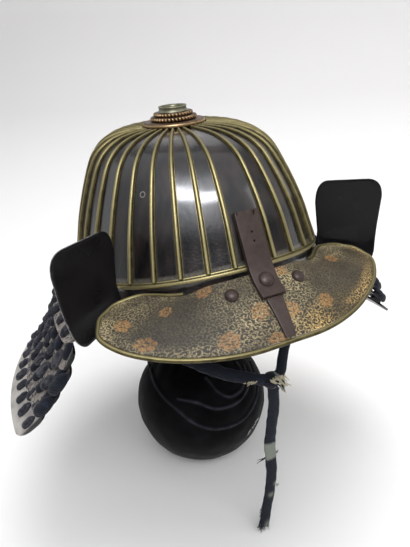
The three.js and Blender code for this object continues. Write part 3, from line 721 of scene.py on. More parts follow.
VISOR_INNER = mirrored_curve(VISOR_INNER_HALF)
VISOR_OUTER = mirrored_curve(VISOR_OUTER_HALF)


def visor_point(t, out):
    """The visor's upper surface: t from wing to wing (-1 to 1), out from the bowl (0 to 1)."""
    point = VISOR_INNER((t + 1) / 2).lerp(VISOR_OUTER((t + 1) / 2), out)
    lift = VISOR_CROWN * 4 * out * (1 - out) * (1 - abs(t) ** 3)
    return point + Vector((0, -0.65, 0.76)) * lift


def visor_frame(t, out):
    step = 1e-3
    along = (visor_point(t + step, out) - visor_point(t - step, out)).normalized()
    fall = (visor_point(t, out + step) - visor_point(t, out - step)).normalized()
    return visor_point(t, out), along, fall, fall.cross(along).normalized()


# Flowers of the stencil: across the visor in mm, share of the way out, width in mm.
FLOWERS = [
    (-77.5, 0.30, 12), (-100, 0.68, 14), (-78, 0.86, 14), (-35, 0.84, 15), (-50, 0.06, 14),
    (-13, 0.55, 15), (8, 0.64, 14), (20, 0.04, 14), (35, 0.70, 13), (-8, 0.97, 13), (88, 0.26, 14),
]
STENCIL_HALF_WIDTH = 130
STENCIL_DEPTH = 55
VINE_PITCH = 5.4
VINE_ROWS, VINE_COLUMNS = 16, 26  # columns on each side of the middle one


def beyond(centre, radius, turn):
    return centre[0] + radius * math.cos(turn), centre[1] + radius * math.sin(turn)


def scroll_vines(rng, points):
    """Points in the sheet's own plane (mm) along many small spirals and their stems."""
    vines = []
    for row in range(VINE_ROWS):
        for column in range(-VINE_COLUMNS, VINE_COLUMNS + 1):
            centre = (
                (column + 0.5 * (row % 2)) * VINE_PITCH + rng.uniform(-1, 1),
                row * VINE_PITCH * 0.86 + rng.uniform(-1, 1),
            )
            hand = 1 if (row + column) % 2 else -1
            start = rng.uniform(0, 2 * math.pi)
            turns = rng.uniform(1.2, 1.8)
            size = VINE_PITCH * rng.uniform(0.55, 0.72)
            for step in range(points):
                share = step / points
                turn = start + hand * share * turns * 2 * math.pi
                radius = size * share ** 0.8
                vines.append(beyond(centre, radius, turn))
                if step % 8 == 5:
                    leaf = turn + 0.7 * hand
                    vines += [beyond(centre, radius + tip, leaf) for tip in (0.4, 0.8, 1.2)]
    return vines


def scroll_kept(x, out):
    """How much of the scroll is left: most at the wings, the free edge and the middle."""
    wings = 0.8 * smoothstep(84, 112, abs(x))
    free_edge = smoothstep(0.76, 0.96, out) * (0.8 if x > -12 else 0.45)
    middle = 0.85 * math.exp(-((x - 2) / 34) ** 2)
    inner_edge = 0.35 * smoothstep(0.16, 0.02, out)
    patch = 0.75 + 0.9 * noise.noise(Vector((x * 0.05, out * 2.6, 1.7)))
    return min(max((0.08 + max(wings, free_edge, middle, inner_edge)) * patch, 0.05), 1)


def flower_value(x, out):
    """The stencilled flower there: six round petals about a small heart."""
    best = 0
    for across, share, width in FLOWERS:
        dx, dy = x - across, (out - share) * STENCIL_DEPTH
        away = math.hypot(dx, dy) / (width / 2)
        if away > 1.1:
            continue
        turn = math.atan2(dy, dx)
        petal = round((turn - across) / (math.pi / 3)) * math.pi / 3 + across
        inside = math.dist(beyond((0, 0), away, turn), beyond((0, 0), 0.6, petal))
        vein = 0.8 + 0.2 * math.cos(30 * turn)
        fleck = 0.85 + 0.7 * noise.noise(Vector((x * 0.8, dy * 0.8, across)))
        heart = smoothstep(0.24, 0.16, away)
        best = max(best, max(smoothstep(0.37, 0.26, inside) * vein, heart) * fleck * 0.9)
    return min(best, 1)


def make_visor():
    columns, rows = 640, 140
    under_rows = (rows, rows // 2, 0)
    tree = search_tree([(x, y, 0) for x, y in scroll_vines(random.Random(11), 40)])
    loops = []
    values = {"scroll": [], "flower": [], "bright": []}
    for column in range(columns + 1):
        t = min(max(2 * column / columns - 1, -WING_END), WING_END)
        x = math.copysign(abs(t) ** 0.95, t) * STENCIL_HALF_WIDTH
        length = (VISOR_OUTER((t + 1) / 2) - VISOR_INNER((t + 1) / 2)).length
        upper, under = [], []
        for row in range(rows + 1):
            out = row / rows
            upper.append(helmet(*visor_point(t, out)))
            _, _, near = tree.find((x, out * length, 0))
            values["scroll"].append(smoothstep(0.42, 0.12, near) * scroll_kept(x, out))
            values["flower"].append(flower_value(x, out))
            # bright is a painted highlight on the gold, strongest at the wearer's left on the free
            # edge.
            values["bright"].append(max(smoothstep(-15, 30, x) * smoothstep(0.5, 0.85, out), 0.15))
        for row in under_rows:
            here, _, _, outward = visor_frame(t, row / rows)
            under.append(helmet(*(here - outward * VISOR_THICKNESS)))
        for numbers in values.values():
            numbers += [0.0] * len(under_rows)
        loops.append(upper + under)
    mesh = loft("visor_leather", loops, crease=50)
    for name, numbers in values.items():
        point_values(mesh, name, numbers)
    piece("visor_leather", mesh, STENCIL, ["visor_plate"])


PIPING_RADIUS = 1.9
PIPING_GAP = 0.1
VISOR_NOTCH = 0.5


def sweep_round(name, path, radius, sides=14, flat=1.0):
    """A round or flattened tube along a list of points in metres."""
    loops = []
    side = None
    for index, here in enumerate(path):
        ahead = path[min(index + 1, len(path) - 1)] - path[max(index - 1, 0)]
        ahead.normalize()
        side = ahead.cross(side.cross(ahead)) if side else ahead.orthogonal()
        side.normalize()
        other = ahead.cross(side)
        loop = []
        for step in range(sides):
            turn = 2 * math.pi * step / sides
            loop.append(here + (side * math.cos(turn) + other * math.sin(turn) * flat) * radius)
        loops.append(loop)
    return loft(name, loops, crease=50)


def make_visor_piping():
    clearance = PIPING_RADIUS + PIPING_GAP
    stops = []
    t = VISOR_NOTCH
    while t < 0.92:
        stops.append((t, 0, 0))
        t += 0.085
    stops += [(WING_END, 0, 1), (WING_END, 0.5, 1), (WING_END, 1, 1)]
    t = 0.9
    while t > 0.02:
        stops.append((t, 1, 0))
        t -= 0.045
    stops = stops + [(0, 1, 0)] + [(-t, out, end) for t, out, end in reversed(stops)]
    path = []
    for t, out, end in stops:
        here, along, fall, outward = visor_frame(t, out)
        here = here + fall * clearance * (0 if out == 0.5 else math.copysign(1, out - 0.5))
        here += along * clearance * end * math.copysign(1, t) - outward * VISOR_THICKNESS / 2
        path.append(here)
    curve = smooth_curve(path)
    line = [helmet(*curve(step / 400)) for step in range(401)]
    mesh = sweep_round("visor_bead", line, PIPING_RADIUS * MM)
    # The crest value follows how far the bead faces up: a painted highlight along its top.
    point_values(mesh, "crest", [max(v.normal.z, 0) ** 3 for v in mesh.vertices])
    piece("visor_bead", mesh, BRASS, ["visor_piping"])


def dome(name, centre, outward, radius, height, node_name):
    """A round-headed rivet, centred in metres and sized in mm."""
    side = outward.orthogonal().normalized()
    other = outward.cross(side)
    rings, segments = 8, 32
    loops = []
    for ring in range(rings + 1):
        turn = math.pi / 2 * ring / rings
        loop = []
        for step in range(segments):
            angle = 2 * math.pi * step / segments
            flat = (side * math.cos(angle) + other * math.sin(angle)) * radius * math.cos(turn)
            loop.append(centre + (flat + outward * height * math.sin(turn)) * MM)
        loops.append(loop)
    piece(name, loft(name, loops), IRON, [node_name])


RIVET_X = 28.6
RIVET_OUT = 0.24
DOME_GAP = 0.1


def make_rivets():
    t = 0
    while visor_point(t, RIVET_OUT).x < RIVET_X:
        t += 0.002
    for side, sign in (("left", 1), ("right", -1)):
        here, _, _, outward = visor_frame(sign * t, RIVET_OUT)
        foot = helmet(*(here + outward * DOME_GAP))
        dome(f"rivet_{side}", foot, outward, 5.4, 3.9, f"visor_rivet_{side}")


# ---- crest holder --------------------------------------------------------

# Down the sleeve's face: y, z and the sleeve's depth there.
HOLDER_STATIONS = [
    (-107.6, 58.2, 4.6), (-113.0, 46.3, 4.6), (-118.4, 34.9, 4.6), (-122.4, 25.5, 4.6),
    (-126.7, 17.2, 4.0), (-133.3, 9.6, 3.2), (-143.6, 2.8, 4.0),
]
HOLDER_WIDTH = 20.4
HOLDER_RIVET_DOWN = 0.81
# What is cut away, in mm to the side, back from the face and down from the mouth.
HOLDER_SLOT = (-9.2, 1, -4), (9.2, 3.6, 26)
HOLDER_NOTCHES = [(5.2, 5, 4.6), (-8.4, 3, 2.4)]  # (middle, width, depth)
PINHOLES = [16.5, 23.5]
PINHOLE_RADIUS = 0.85
HOLDER_CURVE = smooth_curve([(0, y, z) for y, z, _ in HOLDER_STATIONS])
HOLDER_DEPTH = smooth_curve([(depth, 0, 0) for _, _, depth in HOLDER_STATIONS], power=0)


def holder_frame(down):
    step = 1e-3
    here = HOLDER_CURVE(down)
    fall = (HOLDER_CURVE(min(down + step, 1)) - HOLDER_CURVE(max(down - step, 0))).normalized()
    return here, fall, Vector((0, fall.z, -fall.y)).normalized()


def rounded_box_section(width, depth, radius, steps=4):
    """Corner-rounded rectangle as (side, back) pairs, side across and back from the face."""
    corners = [(-1, 0), (1, 0), (1, 1), (-1, 1)]
    points = []
    for index, (side, back) in enumerate(corners):
        centre = (side * (width / 2 - radius), radius if back == 0 else depth - radius)
        start = math.radians(180 + 90 * index)
        for step in range(steps + 1):
            points.append(beyond(centre, radius, start + math.pi / 2 * step / steps))
    return points


def cut(target, cutters):
    """Subtracts closed meshes from an object and leaves the result as plain mesh."""
    for mesh in cutters:
        tool = bpy.data.objects.new("cutter", mesh)
        bpy.context.scene.collection.objects.link(tool)
        modifier = target.modifiers.new("cut", "BOOLEAN")
        modifier.operation = "DIFFERENCE"
        modifier.solver = "EXACT"
        modifier.object = tool
        depsgraph = bpy.context.evaluated_depsgraph_get()
        result = bpy.data.meshes.new_from_object(target.evaluated_get(depsgraph))
        target.modifiers.clear()
        target.data = result
        bpy.data.objects.remove(tool)


def make_crest_holder():
    stations = 36
    loops = []
    for row in range(stations + 1):
        down = row / stations
        here, _, outward = holder_frame(down)
        depth = HOLDER_DEPTH(down).x
        squeeze = 0.96 if row in (0, stations) else 1
        loops.append([
            helmet(side * squeeze, here.y - outward.y * back, here.z - outward.z * back)
            for side, back in rounded_box_section(HOLDER_WIDTH, depth, 0.7)
        ])
    sleeve = loft("crest_sleeve", loops, crease=60)
    holder = piece("crest_sleeve", sleeve, IRON, ["crest_holder"])

    mouth, fall, outward = holder_frame(0)

    def placed(side, back, down):
        point = mouth - outward * back + fall * down
        return helmet(side, point.y, point.z)

    def block(low, high):
        corners = [placed(s, b, d) for d in (low[2], high[2]) for s, b in (
            (low[0], low[1]), (high[0], low[1]), (high[0], high[1]), (low[0], high[1]))]
        return loft("block", [corners[:4], corners[4:]], crease=30)

    def notch(centre, width, deep):
        top, reach = -2, width / 2 + 0.5
        corners = [(-reach, top), (reach, top), (0.4, deep), (-0.4, deep)]
        loops = [[placed(centre + side, back, down) for side, down in corners] for back in (-2, 1.6)]
        return loft("notch", loops, crease=30)

    def pinhole(down):
        circle = [beyond((0, down), PINHOLE_RADIUS, k * math.pi / 6) for k in range(12)]
        loops = [[placed(side, back, low) for side, low in circle] for back in (-1, 2.4)]
        return loft("pinhole", loops, crease=30)

    notches = [notch(*numbers) for numbers in HOLDER_NOTCHES]
    cut(holder, [block(*HOLDER_SLOT), *notches, *[pinhole(down) for down in PINHOLES]])
    holder.data.shade_smooth()
    holder.data.set_sharp_from_angle(angle=math.radians(35))

    here, _, outward = holder_frame(HOLDER_RIVET_DOWN)
    dome("holder_dome", helmet(*(here + outward * DOME_GAP)), outward, 6.2, 3.6, "holder_rivet")


TONGUE_THICKNESS = 2.2
TONGUE_GAP = 0.15
TONGUE_START, TONGUE_END = (0.43, 13.5), (0.98, 8.5)  # (share of the way out, width)


def make_holder_tongue():
    stations = 24
    loops = []
    for row in range(stations + 1):
        out, width = (lerp(a, b, row / stations) for a, b in zip(TONGUE_START, TONGUE_END))
        here, _, _, outward = visor_frame(0, out)
        foot = here + outward * TONGUE_GAP
        section = rounded_box_section(width, TONGUE_THICKNESS, 0.6)
        raised = [(side, TONGUE_THICKNESS - back) for side, back in section]
        loops.append([
            helmet(side, foot.y + outward.y * up, foot.z + outward.z * up) for side, up in raised
        ])
    tongue = loft("sleeve_tongue", loops, crease=60)
    piece("sleeve_tongue", tongue, IRON, ["holder_tongue"])


# ---- cheek plates --------------------------------------------------------

CHEEK_ORIGIN = Vector((88.9, -60.5, -4.8))
CHEEK_OUTWARD = Vector((0.899, -0.417, -0.135)).normalized()
CHEEK_UPWARD = Vector((0.102, -0.102, 0.99))
CHEEK_THICKNESS = 2.2
CHEEK_MIDDLE = (30, 24)
CHEEK_RINGS = 16


def bezier(a, b, c, steps=10):
    """Points of the round corner from a to c that leans towards b."""
    points = []
    for k in range(steps + 1):
        t = k / steps
        points.append([
            (1 - t) ** 2 * start + 2 * (1 - t) * t * pull + t ** 2 * end
            for start, pull, end in zip(a, b, c)
        ])
    return points


def cheek_outline():
    """The plate's outline in mm: outward from its inner edge, and upward."""
    rough = [(5.5, -3), (5.2, 14), (0, 40)]
    rough += bezier((0, 40), (-2, 60), (9, 61))
    rough += bezier((44, 64), (56.5, 64), (58, 48))
    rough += [(58.5, 0)]
    rough += bezier((58.5, 0), (57.5, -14), (48, -14))
    rough += [(24, -13)]
    rough += bezier((24, -13), (10, -11), (5.5, -3), 6)
    outline = []
    for a, b in zip(rough, rough[1:] + rough[:1]):
        steps = max(int(math.dist(a, b) / 2.5), 1)
        for k in range(steps):
            outline.append([lerp(start, end, k / steps) for start, end in zip(a, b)])
    return outline


def make_cheek_plate(name, node_name, side):
    """A dished plate whose lower edge curls forward; side is 1 on the wearer's left."""
    facing = CHEEK_OUTWARD.cross(CHEEK_UPWARD).normalized()
    upward = facing.cross(CHEEK_OUTWARD)
    outline = cheek_outline()
    middle_x, middle_y = CHEEK_MIDDLE

    def placed(x, y, depth):
        dish = 0.0011 * (x - middle_x) ** 2 + 0.0006 * (y - middle_y) ** 2 - 1.2
        curl = max(20 - y + 0.012 * (x - 34) ** 2, 0) ** 2
        dish += 0.0085 * curl * smoothstep(0, 14, x)
        point = CHEEK_ORIGIN + CHEEK_OUTWARD * x + upward * y + facing * (depth + dish * 0.6)
        return helmet(point.x * side, point.y, point.z)

    shares = [ring / CHEEK_RINGS for ring in range(1, CHEEK_RINGS)]
    back, round_in, round_down = -CHEEK_THICKNESS, 1 - 0.6 / 35, 0.4
    profile = [(share, 0.0) for share in shares] + [(round_in, -0.02), (1, -round_down)]
    profile += [(1, back + round_down), (round_in, back)]
    profile += [(share, back) for share in reversed(shares)]
    count = len(outline)
    vertices, faces = [placed(middle_x, middle_y, 0)], []
    for share, depth in profile:
        vertices += [
            placed(lerp(middle_x, x, share), lerp(middle_y, y, share), depth) for x, y in outline
        ]
    vertices.append(placed(middle_x, middle_y, back))
    for k in range(count):
        faces.append((0, 1 + k, 1 + (k + 1) % count))
        for ring in range(len(profile) - 1):
            here, after = 1 + ring * count, 1 + (ring + 1) * count
            faces.append((here + k, here + (k + 1) % count, after + (k + 1) % count, after + k))
        last = 1 + (len(profile) - 1) * count
        faces.append((len(vertices) - 1, last + (k + 1) % count, last + k))
    mesh = mesh_from(name, vertices, faces, crease=60)
    worn = [0.0] * len(mesh.vertices)
    for index in range(1 + CHEEK_RINGS * count, 1 + (CHEEK_RINGS + 2) * count):
        x, y = outline[(index - 1) % count]
        worn[index] = 0.9 * smoothstep(38, 16, y) * smoothstep(-6, 12, x + y * 0.2) + 0.08
    point_values(mesh, "worn_edge", worn)
    piece(name, mesh, LEATHER_LACQUER, [node_name])


# ---- neck guard ----------------------------------------------------------

LAMES = 5
GUARD_TOP = dict(half_width=141.7, depth=204, centre_y=-59.5, z=-8, end_y=-96.2)
GUARD_BOTTOM = dict(half_width=194.5, depth=242, centre_y=-42.9, z=-106.2, end_y=-58.2)
GUARD_HANGER = dict(half_width=109.2, depth=125, centre_y=4, z=-11.5, rise=0, end_y=-53)
GUARD_FLARE = 1.8
GUARD_RISE = 8.8
GUARD_TUCK = 6
GUARD_OVERLAP = 0.03
GUARD_SECOND_DROP = 0.015
GUARD_BEHIND_CHEEK_Y = -79.5
LAME_THICKNESS = 2


def guard_ring(level):
    """The guard's outline at a level, 0 at its top and 1 at its foot."""
    flare = level ** GUARD_FLARE
    shares = dict(half_width=flare, depth=flare, centre_y=flare, z=level, end_y=level)
    ring = {key: lerp(GUARD_TOP[key], GUARD_BOTTOM[key], share) for key, share in shares.items()}
    return dict(ring, rise=GUARD_RISE * level)


def ring_point(ring, share, inset):
    end = math.acos((ring["centre_y"] - ring["end_y"]) / ring["depth"])
    angle = lerp(end, 2 * math.pi - end, share)
    return Vector((
        (ring["half_width"] - inset) * math.sin(angle),
        ring["centre_y"] - (ring["depth"] - inset) * math.cos(angle),
        ring["z"] - ring["rise"] * math.cos(angle),
    ))


def lame_rings(lame):
    """The (ring, inset) of a lame's upper and lower edges."""
    if lame == 1:
        return (GUARD_HANGER, -0.35), (dict(guard_ring(1 / LAMES), end_y=GUARD_BEHIND_CHEEK_Y), 0)
    above = (lame - 1) / LAMES
    if lame == 2:
        upper = dict(guard_ring(above + GUARD_SECOND_DROP), end_y=GUARD_BEHIND_CHEEK_Y)
    else:
        upper = guard_ring(above - GUARD_OVERLAP)
    return (upper, GUARD_TUCK), (guard_ring(lame / LAMES), 0)


def lame_frame(lame, share, down):
    """A place on a lame's outer face, with its along, down and outward directions."""
    (upper, tuck), (lower, inset) = lame_rings(lame)

    def at(s):
        return ring_point(upper, s, tuck).lerp(ring_point(lower, s, inset), down)

    fall = (ring_point(lower, share, inset) - ring_point(upper, share, tuck)).normalized()
    along = (at(min(share + 1e-3, 1)) - at(max(share - 1e-3, 0))).normalized()
    outward = along.cross(fall).normalized()
    here = at(share)
    if outward.dot(Vector((here.x, here.y - CROWN_Y, 0))) < 0:
        outward.negate()
    return here, along, fall, outward


def lame_stations(count, length):
    """Shares along a lame, closer together near its two ends."""
    near = [k * 1.2 / length for k in range(12)]
    start = near[-1]
    middle = [lerp(start, 1 - start, k / count) for k in range(1, count)]
    return near + middle + [1 - share for share in reversed(near)]


def lame_length(lame):
    return 560 + 60 * lame


def make_lame(lame):
    """One curved plate of the neck guard, its lower corners rounded and, below the
    first plate, its upper ones cut back half as far."""
    length = lame_length(lame)
    rows, corner, height = 6, 15, 24
    loops, painted_end_shades = [], []
    for share in lame_stations(150, length):
        from_end = min(share, 1 - share) * length
        lost = 0
        if from_end < corner:
            round_off = math.sqrt(max(1 - (1 - from_end / corner) ** 2, 0))
            lost = corner * (1 - round_off) / height
        top_lost = lost * 0.5 if lame > 1 else 0
        outer, inner = [], []
        for row in range(rows + 1):
            here, _, _, outward = lame_frame(lame, share, lerp(top_lost, 1 - lost, row / rows))
            outer.append(helmet(*here))
            inner.append(helmet(*(here - outward * LAME_THICKNESS)))
        # Painted shade over the last few millimetres at each end of the lame.
        painted_end_shades += [smoothstep(7, 3, from_end)] * (2 * rows + 2)
        loops.append(outer + inner[::-1])
    mesh = loft(f"lame_{lame}", loops, crease=45)
    point_values(mesh, "painted_end_shade", painted_end_shades)
    skins = [RUBBED if lame == LAMES else LACED_GROUND, LEATHER_LACQUER]
    made = piece(f"lame_{lame}", mesh, skins, [f"neck_lame_{lame}"])
    axis = helmet(0, CROWN_Y, 0)
    for face in made.data.polygons:
        away = face.center - axis
        flat = Vector((away.x, away.y, 0)).normalized()
        face.material_index = 0 if face.normal.dot(flat + Vector((0, 0, 0.4))) > 0.25 else 1


KNOT_WIDTH = 9.6
KNOT_LENGTH = 16.5
KNOT_HEIGHT = 4.6
KNOT_PITCH = 21
# Each row of lacing: its lame, share of the way down it, shift along it in knots, and
# how frayed its knots are.
LACING_ROWS = [
    (1, 0.3, 0.5, 0.1), (1, 0.8, 0, 0.3), (2, 0.3, 0.5, 0), (2, 0.85, 0, 0.4),
    (3, 0.4, 0.5, 0), (3, 0.92, 0, 0.45), (4, 0.46, 0.5, 0), (5, 0.1, 0, 0.45),
    (5, 0.5, 0.5, 0.4),
]
# Large knots round the corners of a lame, by the row that they belong to: (lame, down).
BUNDLES = {5: (3, 0.6), 7: (4, 0.62)}
BUNDLE_SCALE = 1.45


def knot_shape():
    work = bmesh.new()
    bmesh.ops.create_icosphere(work, subdivisions=3, radius=1)
    shape = [v.co.copy() for v in work.verts]
    faces = [tuple(v.index for v in face.verts) for face in work.faces]
    work.free()
    return shape, faces


def add_knot(place, scale, seed, frayed, into):
    """One padded knot: a lump with a waist, at a lame's (point, along, down, outward)."""
    here, across, upright, outward = place
    vertices, faces, patch = into
    shape, shape_faces = KNOT_SHAPE
    base = len(vertices)
    for p in shape:
        dent = 1 - 0.25 * math.exp(-(p.y / 0.3) ** 2) * max(p.z, 0)
        lump = 1 + 0.09 * noise.noise(p * 2.4 + seed)
        point = here + across * p.x * KNOT_WIDTH / 2 * scale * lump
        point += upright * p.y * KNOT_LENGTH / 2 * scale * lump
        point += outward * (max(p.z, -0.25) * KNOT_HEIGHT * dent * scale + 0.3)
        vertices.append(helmet(*point))
        patch.append(min(max(frayed * (0.55 + 1.2 * noise.noise(p * 5 + seed)), 0), 1))
    faces += [tuple(base + i for i in face) for face in shape_faces]


def make_lacing():
    """Rows of padded lacing knots, staggered from row to row, one mesh for each row."""
    rng = random.Random(5)
    for number, (lame, down, shift, frayed) in enumerate(LACING_ROWS, start=1):
        count = int(lame_length(lame) / KNOT_PITCH)
        into = [], [], []
        for k in range(count):
            share = (k + 0.5 + shift) / (count + 0.5)
            if not 0.008 < share < 0.992:
                continue
            here, along, fall, outward = lame_frame(lame, share, down + rng.uniform(-0.05, 0.05))
            tilt = rng.uniform(-0.15, 0.15)
            across = (along + fall * tilt).normalized()
            upright = (fall - along * tilt).normalized()
            place = here, across, upright, outward
            seed = Vector((k, number, 0))
            wear = frayed * rng.uniform(0.4, 1.3)
            add_knot(place, rng.uniform(0.9, 1.12), seed, wear, into)
        if number in BUNDLES:
            bundle_lame, bundle_down = BUNDLES[number]
            for share in (0.006, 0.994):
                place = lame_frame(bundle_lame, share, bundle_down)
                add_knot(place, BUNDLE_SCALE, Vector((share, number, 3)), 0.0, into)
        vertices, faces, patch = into
        mesh = mesh_from(f"lacing_row_{number}", vertices, faces, crease=70)
        point_values(mesh, "patch", patch)
        piece(f"lacing_row_{number}", mesh, LACING)


KNOT_SHAPE = knot_shape()

# ---- chin strap ----------------------------------------------------------

STRAP_WIDTH = 11
STRAP_THICKNESS = 4.6
STRAP_RIGHT_ROUTE = [
    (-86, -48, -6), (-84, -58, -22), (-77, -72, -37), (-66, -88, -50),
    (-50, -101, -61), (-32, -109, -72), (-14, -114, -80.5), (-1, -116.5, -86), (4, -117, -88),
]
STRAP_LEFT_ROUTE = [
    (12.5, -117, -88), (18, -116, -85), (22.5, -112, -78), (30, -107, -65),
    (40, -100, -49), (52, -91, -33), (64, -80, -20), (75, -66, -10), (82, -52, -5),
]
KNOT_CENTRE = (8.6, -117.5, -89)
KNOT_RADII = (8.4, 6.4, 7.6)
TAIL_ROUTE = [
    (8.4, -118.2, -92), (8.8, -118.5, -99), (8.9, -118.5, -105), (8.6, -118.5, -113),
    (7.2, -118.5, -122), (5.6, -118.5, -131), (4.1, -118.5, -140), (2.9, -118.5, -150),
    (2.5, -118.5, -160),
    (2.7, -118.5, -170), (2.8, -118.6, -180), (2.0, -118.7, -190), (0.3, -118.8, -200),
    (-2.0, -119, -210), (-4.6, -119.3, -220), (-7.4, -119.8, -230), (-10.4, -120.8, -239),
]


def flat_cord(name, route, width, thickness, facing, patch):
    """A flat braid along a route, its wide side across the facing direction."""
    curve = smooth_curve(route)
    steps = 120
    path = [curve(k / steps) for k in range(steps + 1)]
    loops, values = [], []
    sides = 20
    for index, here in enumerate(path):
        ahead = (path[min(index + 1, steps)] - path[max(index - 1, 0)]).normalized()
        wide = facing.cross(ahead).normalized()
        thin = ahead.cross(wide)
        loop = []
        for step in range(sides):
            turn = 2 * math.pi * step / sides
            across, through = math.cos(turn), math.sin(turn)
            swell = 1 + 0.16 * noise.noise(here * 0.14 + Vector((across * 2, 0, 0)))
            ridge = 0.25 * math.cos(across * 9) * abs(through)
            spot = here + wide * across * width / 2 * swell
            loop.append(helmet(*(spot + thin * through * (thickness / 2 + ridge) * swell)))
            values.append(patch(here, across))
        loops.append(loop)
    mesh = loft(name, loops, crease=60)
    point_values(mesh, "patch", values)
    return mesh, [helmet(*p) for p in path]


def make_chin_strap():
    front = Vector((0, -1, 0))

    def plain(here, across):
        return 0.0

    def bump(offset, width):
        return math.exp(-(offset / width) ** 2)

    def tail_patch(here, across):
        band = smoothstep(-168.5, -166, here.z) * smoothstep(-149, -151.5, here.z)
        upper_spot = bump(here.z + 195, 1.6) * smoothstep(0.1, 0.6, across)
        lower_spot = bump(here.z + 206, 2.2) * bump(across - 0.1, 0.45)
        frayed = smoothstep(-230, -237, here.z) * smoothstep(-0.4, 0.4, across) * 0.9
        return min(band + upper_spot + lower_spot + frayed, 1)

    straps = [
        ("strap_right_run", STRAP_RIGHT_ROUTE, "chin_strap_right"),
        ("strap_left_run", STRAP_LEFT_ROUTE[::-1], "chin_strap_left"),
    ]
    knot = make_knot()
    knot_threads = make_threads("knot_threads", KNOT_THREADS, 7)
    tail_threads = make_threads("tail_threads", TAIL_THREADS, 3)
    for name, route, node_name in straps:
        mesh, path = flat_cord(name, route, STRAP_WIDTH, STRAP_THICKNESS, front, plain)
        strap = piece(name, mesh, BRAID, [node_name])
    mesh, path = flat_cord("strap_tail", TAIL_ROUTE, STRAP_WIDTH, STRAP_THICKNESS, front, tail_patch)
    tail = piece("strap_tail", mesh, BRAID, ["chin_strap_tail"])


def make_knot():
    shape, faces = KNOT_SHAPE
    centre = Vector(KNOT_CENTRE)
    vertices = []
    for p in shape:
        lump = 1 + 0.16 * noise.noise(p * 2.6) - 0.2 * math.exp(-((p.z + p.x * 0.8) / 0.18) ** 2)
        spread = Vector((p.x * KNOT_RADII[0], p.y * KNOT_RADII[1], p.z * KNOT_RADII[2]))
        vertices.append(helmet(*(centre + spread * lump)))
    mesh = mesh_from("strap_knot", vertices, faces, crease=80)
    point_values(mesh, "patch", [
        0.9 if v.co.x > 9 * MM and noise.noise(v.co * 260) > 0.05 else 0.0 for v in mesh.vertices
    ])
    return piece("strap_knot", mesh, BRAID, ["chin_strap_knot"])


# Loose threads: where they start, how far that spreads, which way they lean (all in
# helmet mm), how long and thick they are, how many, and how pale.
TAIL_THREADS = [
    ((-10.4, -120.8, -236), (4.6, 1.4, 3), (-0.1, -0.2, -1), 6.5, 0.28, 40, 0.2),
    ((-12.6, -120.8, -236), (1.4, 0.8, 2), (-0.35, 0, -1), 6, 1.1, 4, 0.0),
    ((-8.4, -121, -237), (1.6, 0.8, 1), (0.1, 0, -1), 5.5, 1.3, 3, 1.0),
    ((-3.4, -118.9, -165), (0.6, 0.6, 1.5), (-1, -0.2, 0.1), 8, 0.4, 4, 0.0),
    ((8, -118.9, -164), (0.6, 0.6, 1), (0.8, -0.2, 0.6), 3.5, 0.4, 4, 0.2),
    ((6, -118.9, -199), (1, 0.6, 3), (0.9, -0.2, 0.2), 3, 0.5, 5, 0.5),
    ((-10, -119.6, -226), (1, 0.6, 8), (-0.9, -0.2, -0.3), 3, 0.35, 10, 0.1),
]
KNOT_THREADS = [
    ((14, -123, -88), (3, 1.2, 4.5), (0.5, -0.25, -0.7), 6, 0.85, 26, 1.0),
    ((7, -124, -84), (4, 1.2, 1.6), (0.8, -0.2, -0.4), 5, 0.7, 16, 0.85),
    ((-11, -119.5, -83), (6, 0.8, 1.4), (-0.9, -0.15, 0.1), 3.2, 0.55, 12, 0.9),
    ((15.5, -123, -95), (2, 1, 2.5), (0.3, -0.3, -0.9), 4.5, 0.7, 10, 0.75),
    ((12, -123.4, -90), (4, 1.2, 4), (0.3, -0.5, -0.6), 4.5, 0.6, 12, 0.0),
]


def make_threads(name, clumps, seed):
    """Frayed ends, each a thin strand of four sides that bends as it leaves the braid."""
    rng = random.Random(seed)
    steps, sides = 5, 4
    vertices, faces, patch = [], [], []
    for start, spread, lean, length, radius, count, pale in clumps:
        for _ in range(count):
            root = Vector(start) + Vector([rng.uniform(-1, 1) * reach for reach in spread])
            way = (Vector(lean) + Vector([rng.uniform(-0.35, 0.35) for _ in range(3)])).normalized()
            bend = Vector([rng.uniform(-1, 1) for _ in range(3)]) * length * 0.3
            reach = length * rng.uniform(0.5, 1.1)
            base = len(vertices)
            side = way.orthogonal().normalized()
            other = way.cross(side)
            for step in range(steps + 1):
                share = step / steps
                here = root + way * reach * share + bend * share ** 2
                here.z = max(here.z, -HELMET_Z + radius + 0.4)
                for k in range(sides):
                    turn = 2 * math.pi * k / sides
                    ring = (side * math.cos(turn) + other * math.sin(turn)) * radius
                    vertices.append(helmet(*(here + ring * (1 - 0.6 * share))))
                    patch.append(pale * rng.uniform(0.6, 1))
            for step in range(steps):
                for k in range(sides):
                    a, b = base + step * sides + k, base + step * sides + (k + 1) % sides
                    faces.append((a, b, b + sides, a + sides))
            faces.append(tuple(base + k for k in range(sides)))
            faces.append(tuple(base + steps * sides + k for k in range(sides)))
    mesh = bpy.data.meshes.new(name)
    mesh.from_pydata([tuple(v) for v in vertices], [], faces)
    mesh.shade_smooth()
    point_values(mesh, "patch", patch)
    return piece(name, mesh, THREADS)


# ---- stand ---------------------------------------------------------------

BALL_RADIUS = 70
BALL_CENTRE = 61.3
POST_RADIUS = 8
BALL_TOP_LIFT = math.acos(POST_RADIUS / BALL_RADIUS)  # where the ball meets the post
AXIS = 0.01  # mm from a turned piece's middle, so that its last ring still has a size
PAD_BOTTOM, PAD_TOP, PAD_RADIUS = 334, 350.2, 30
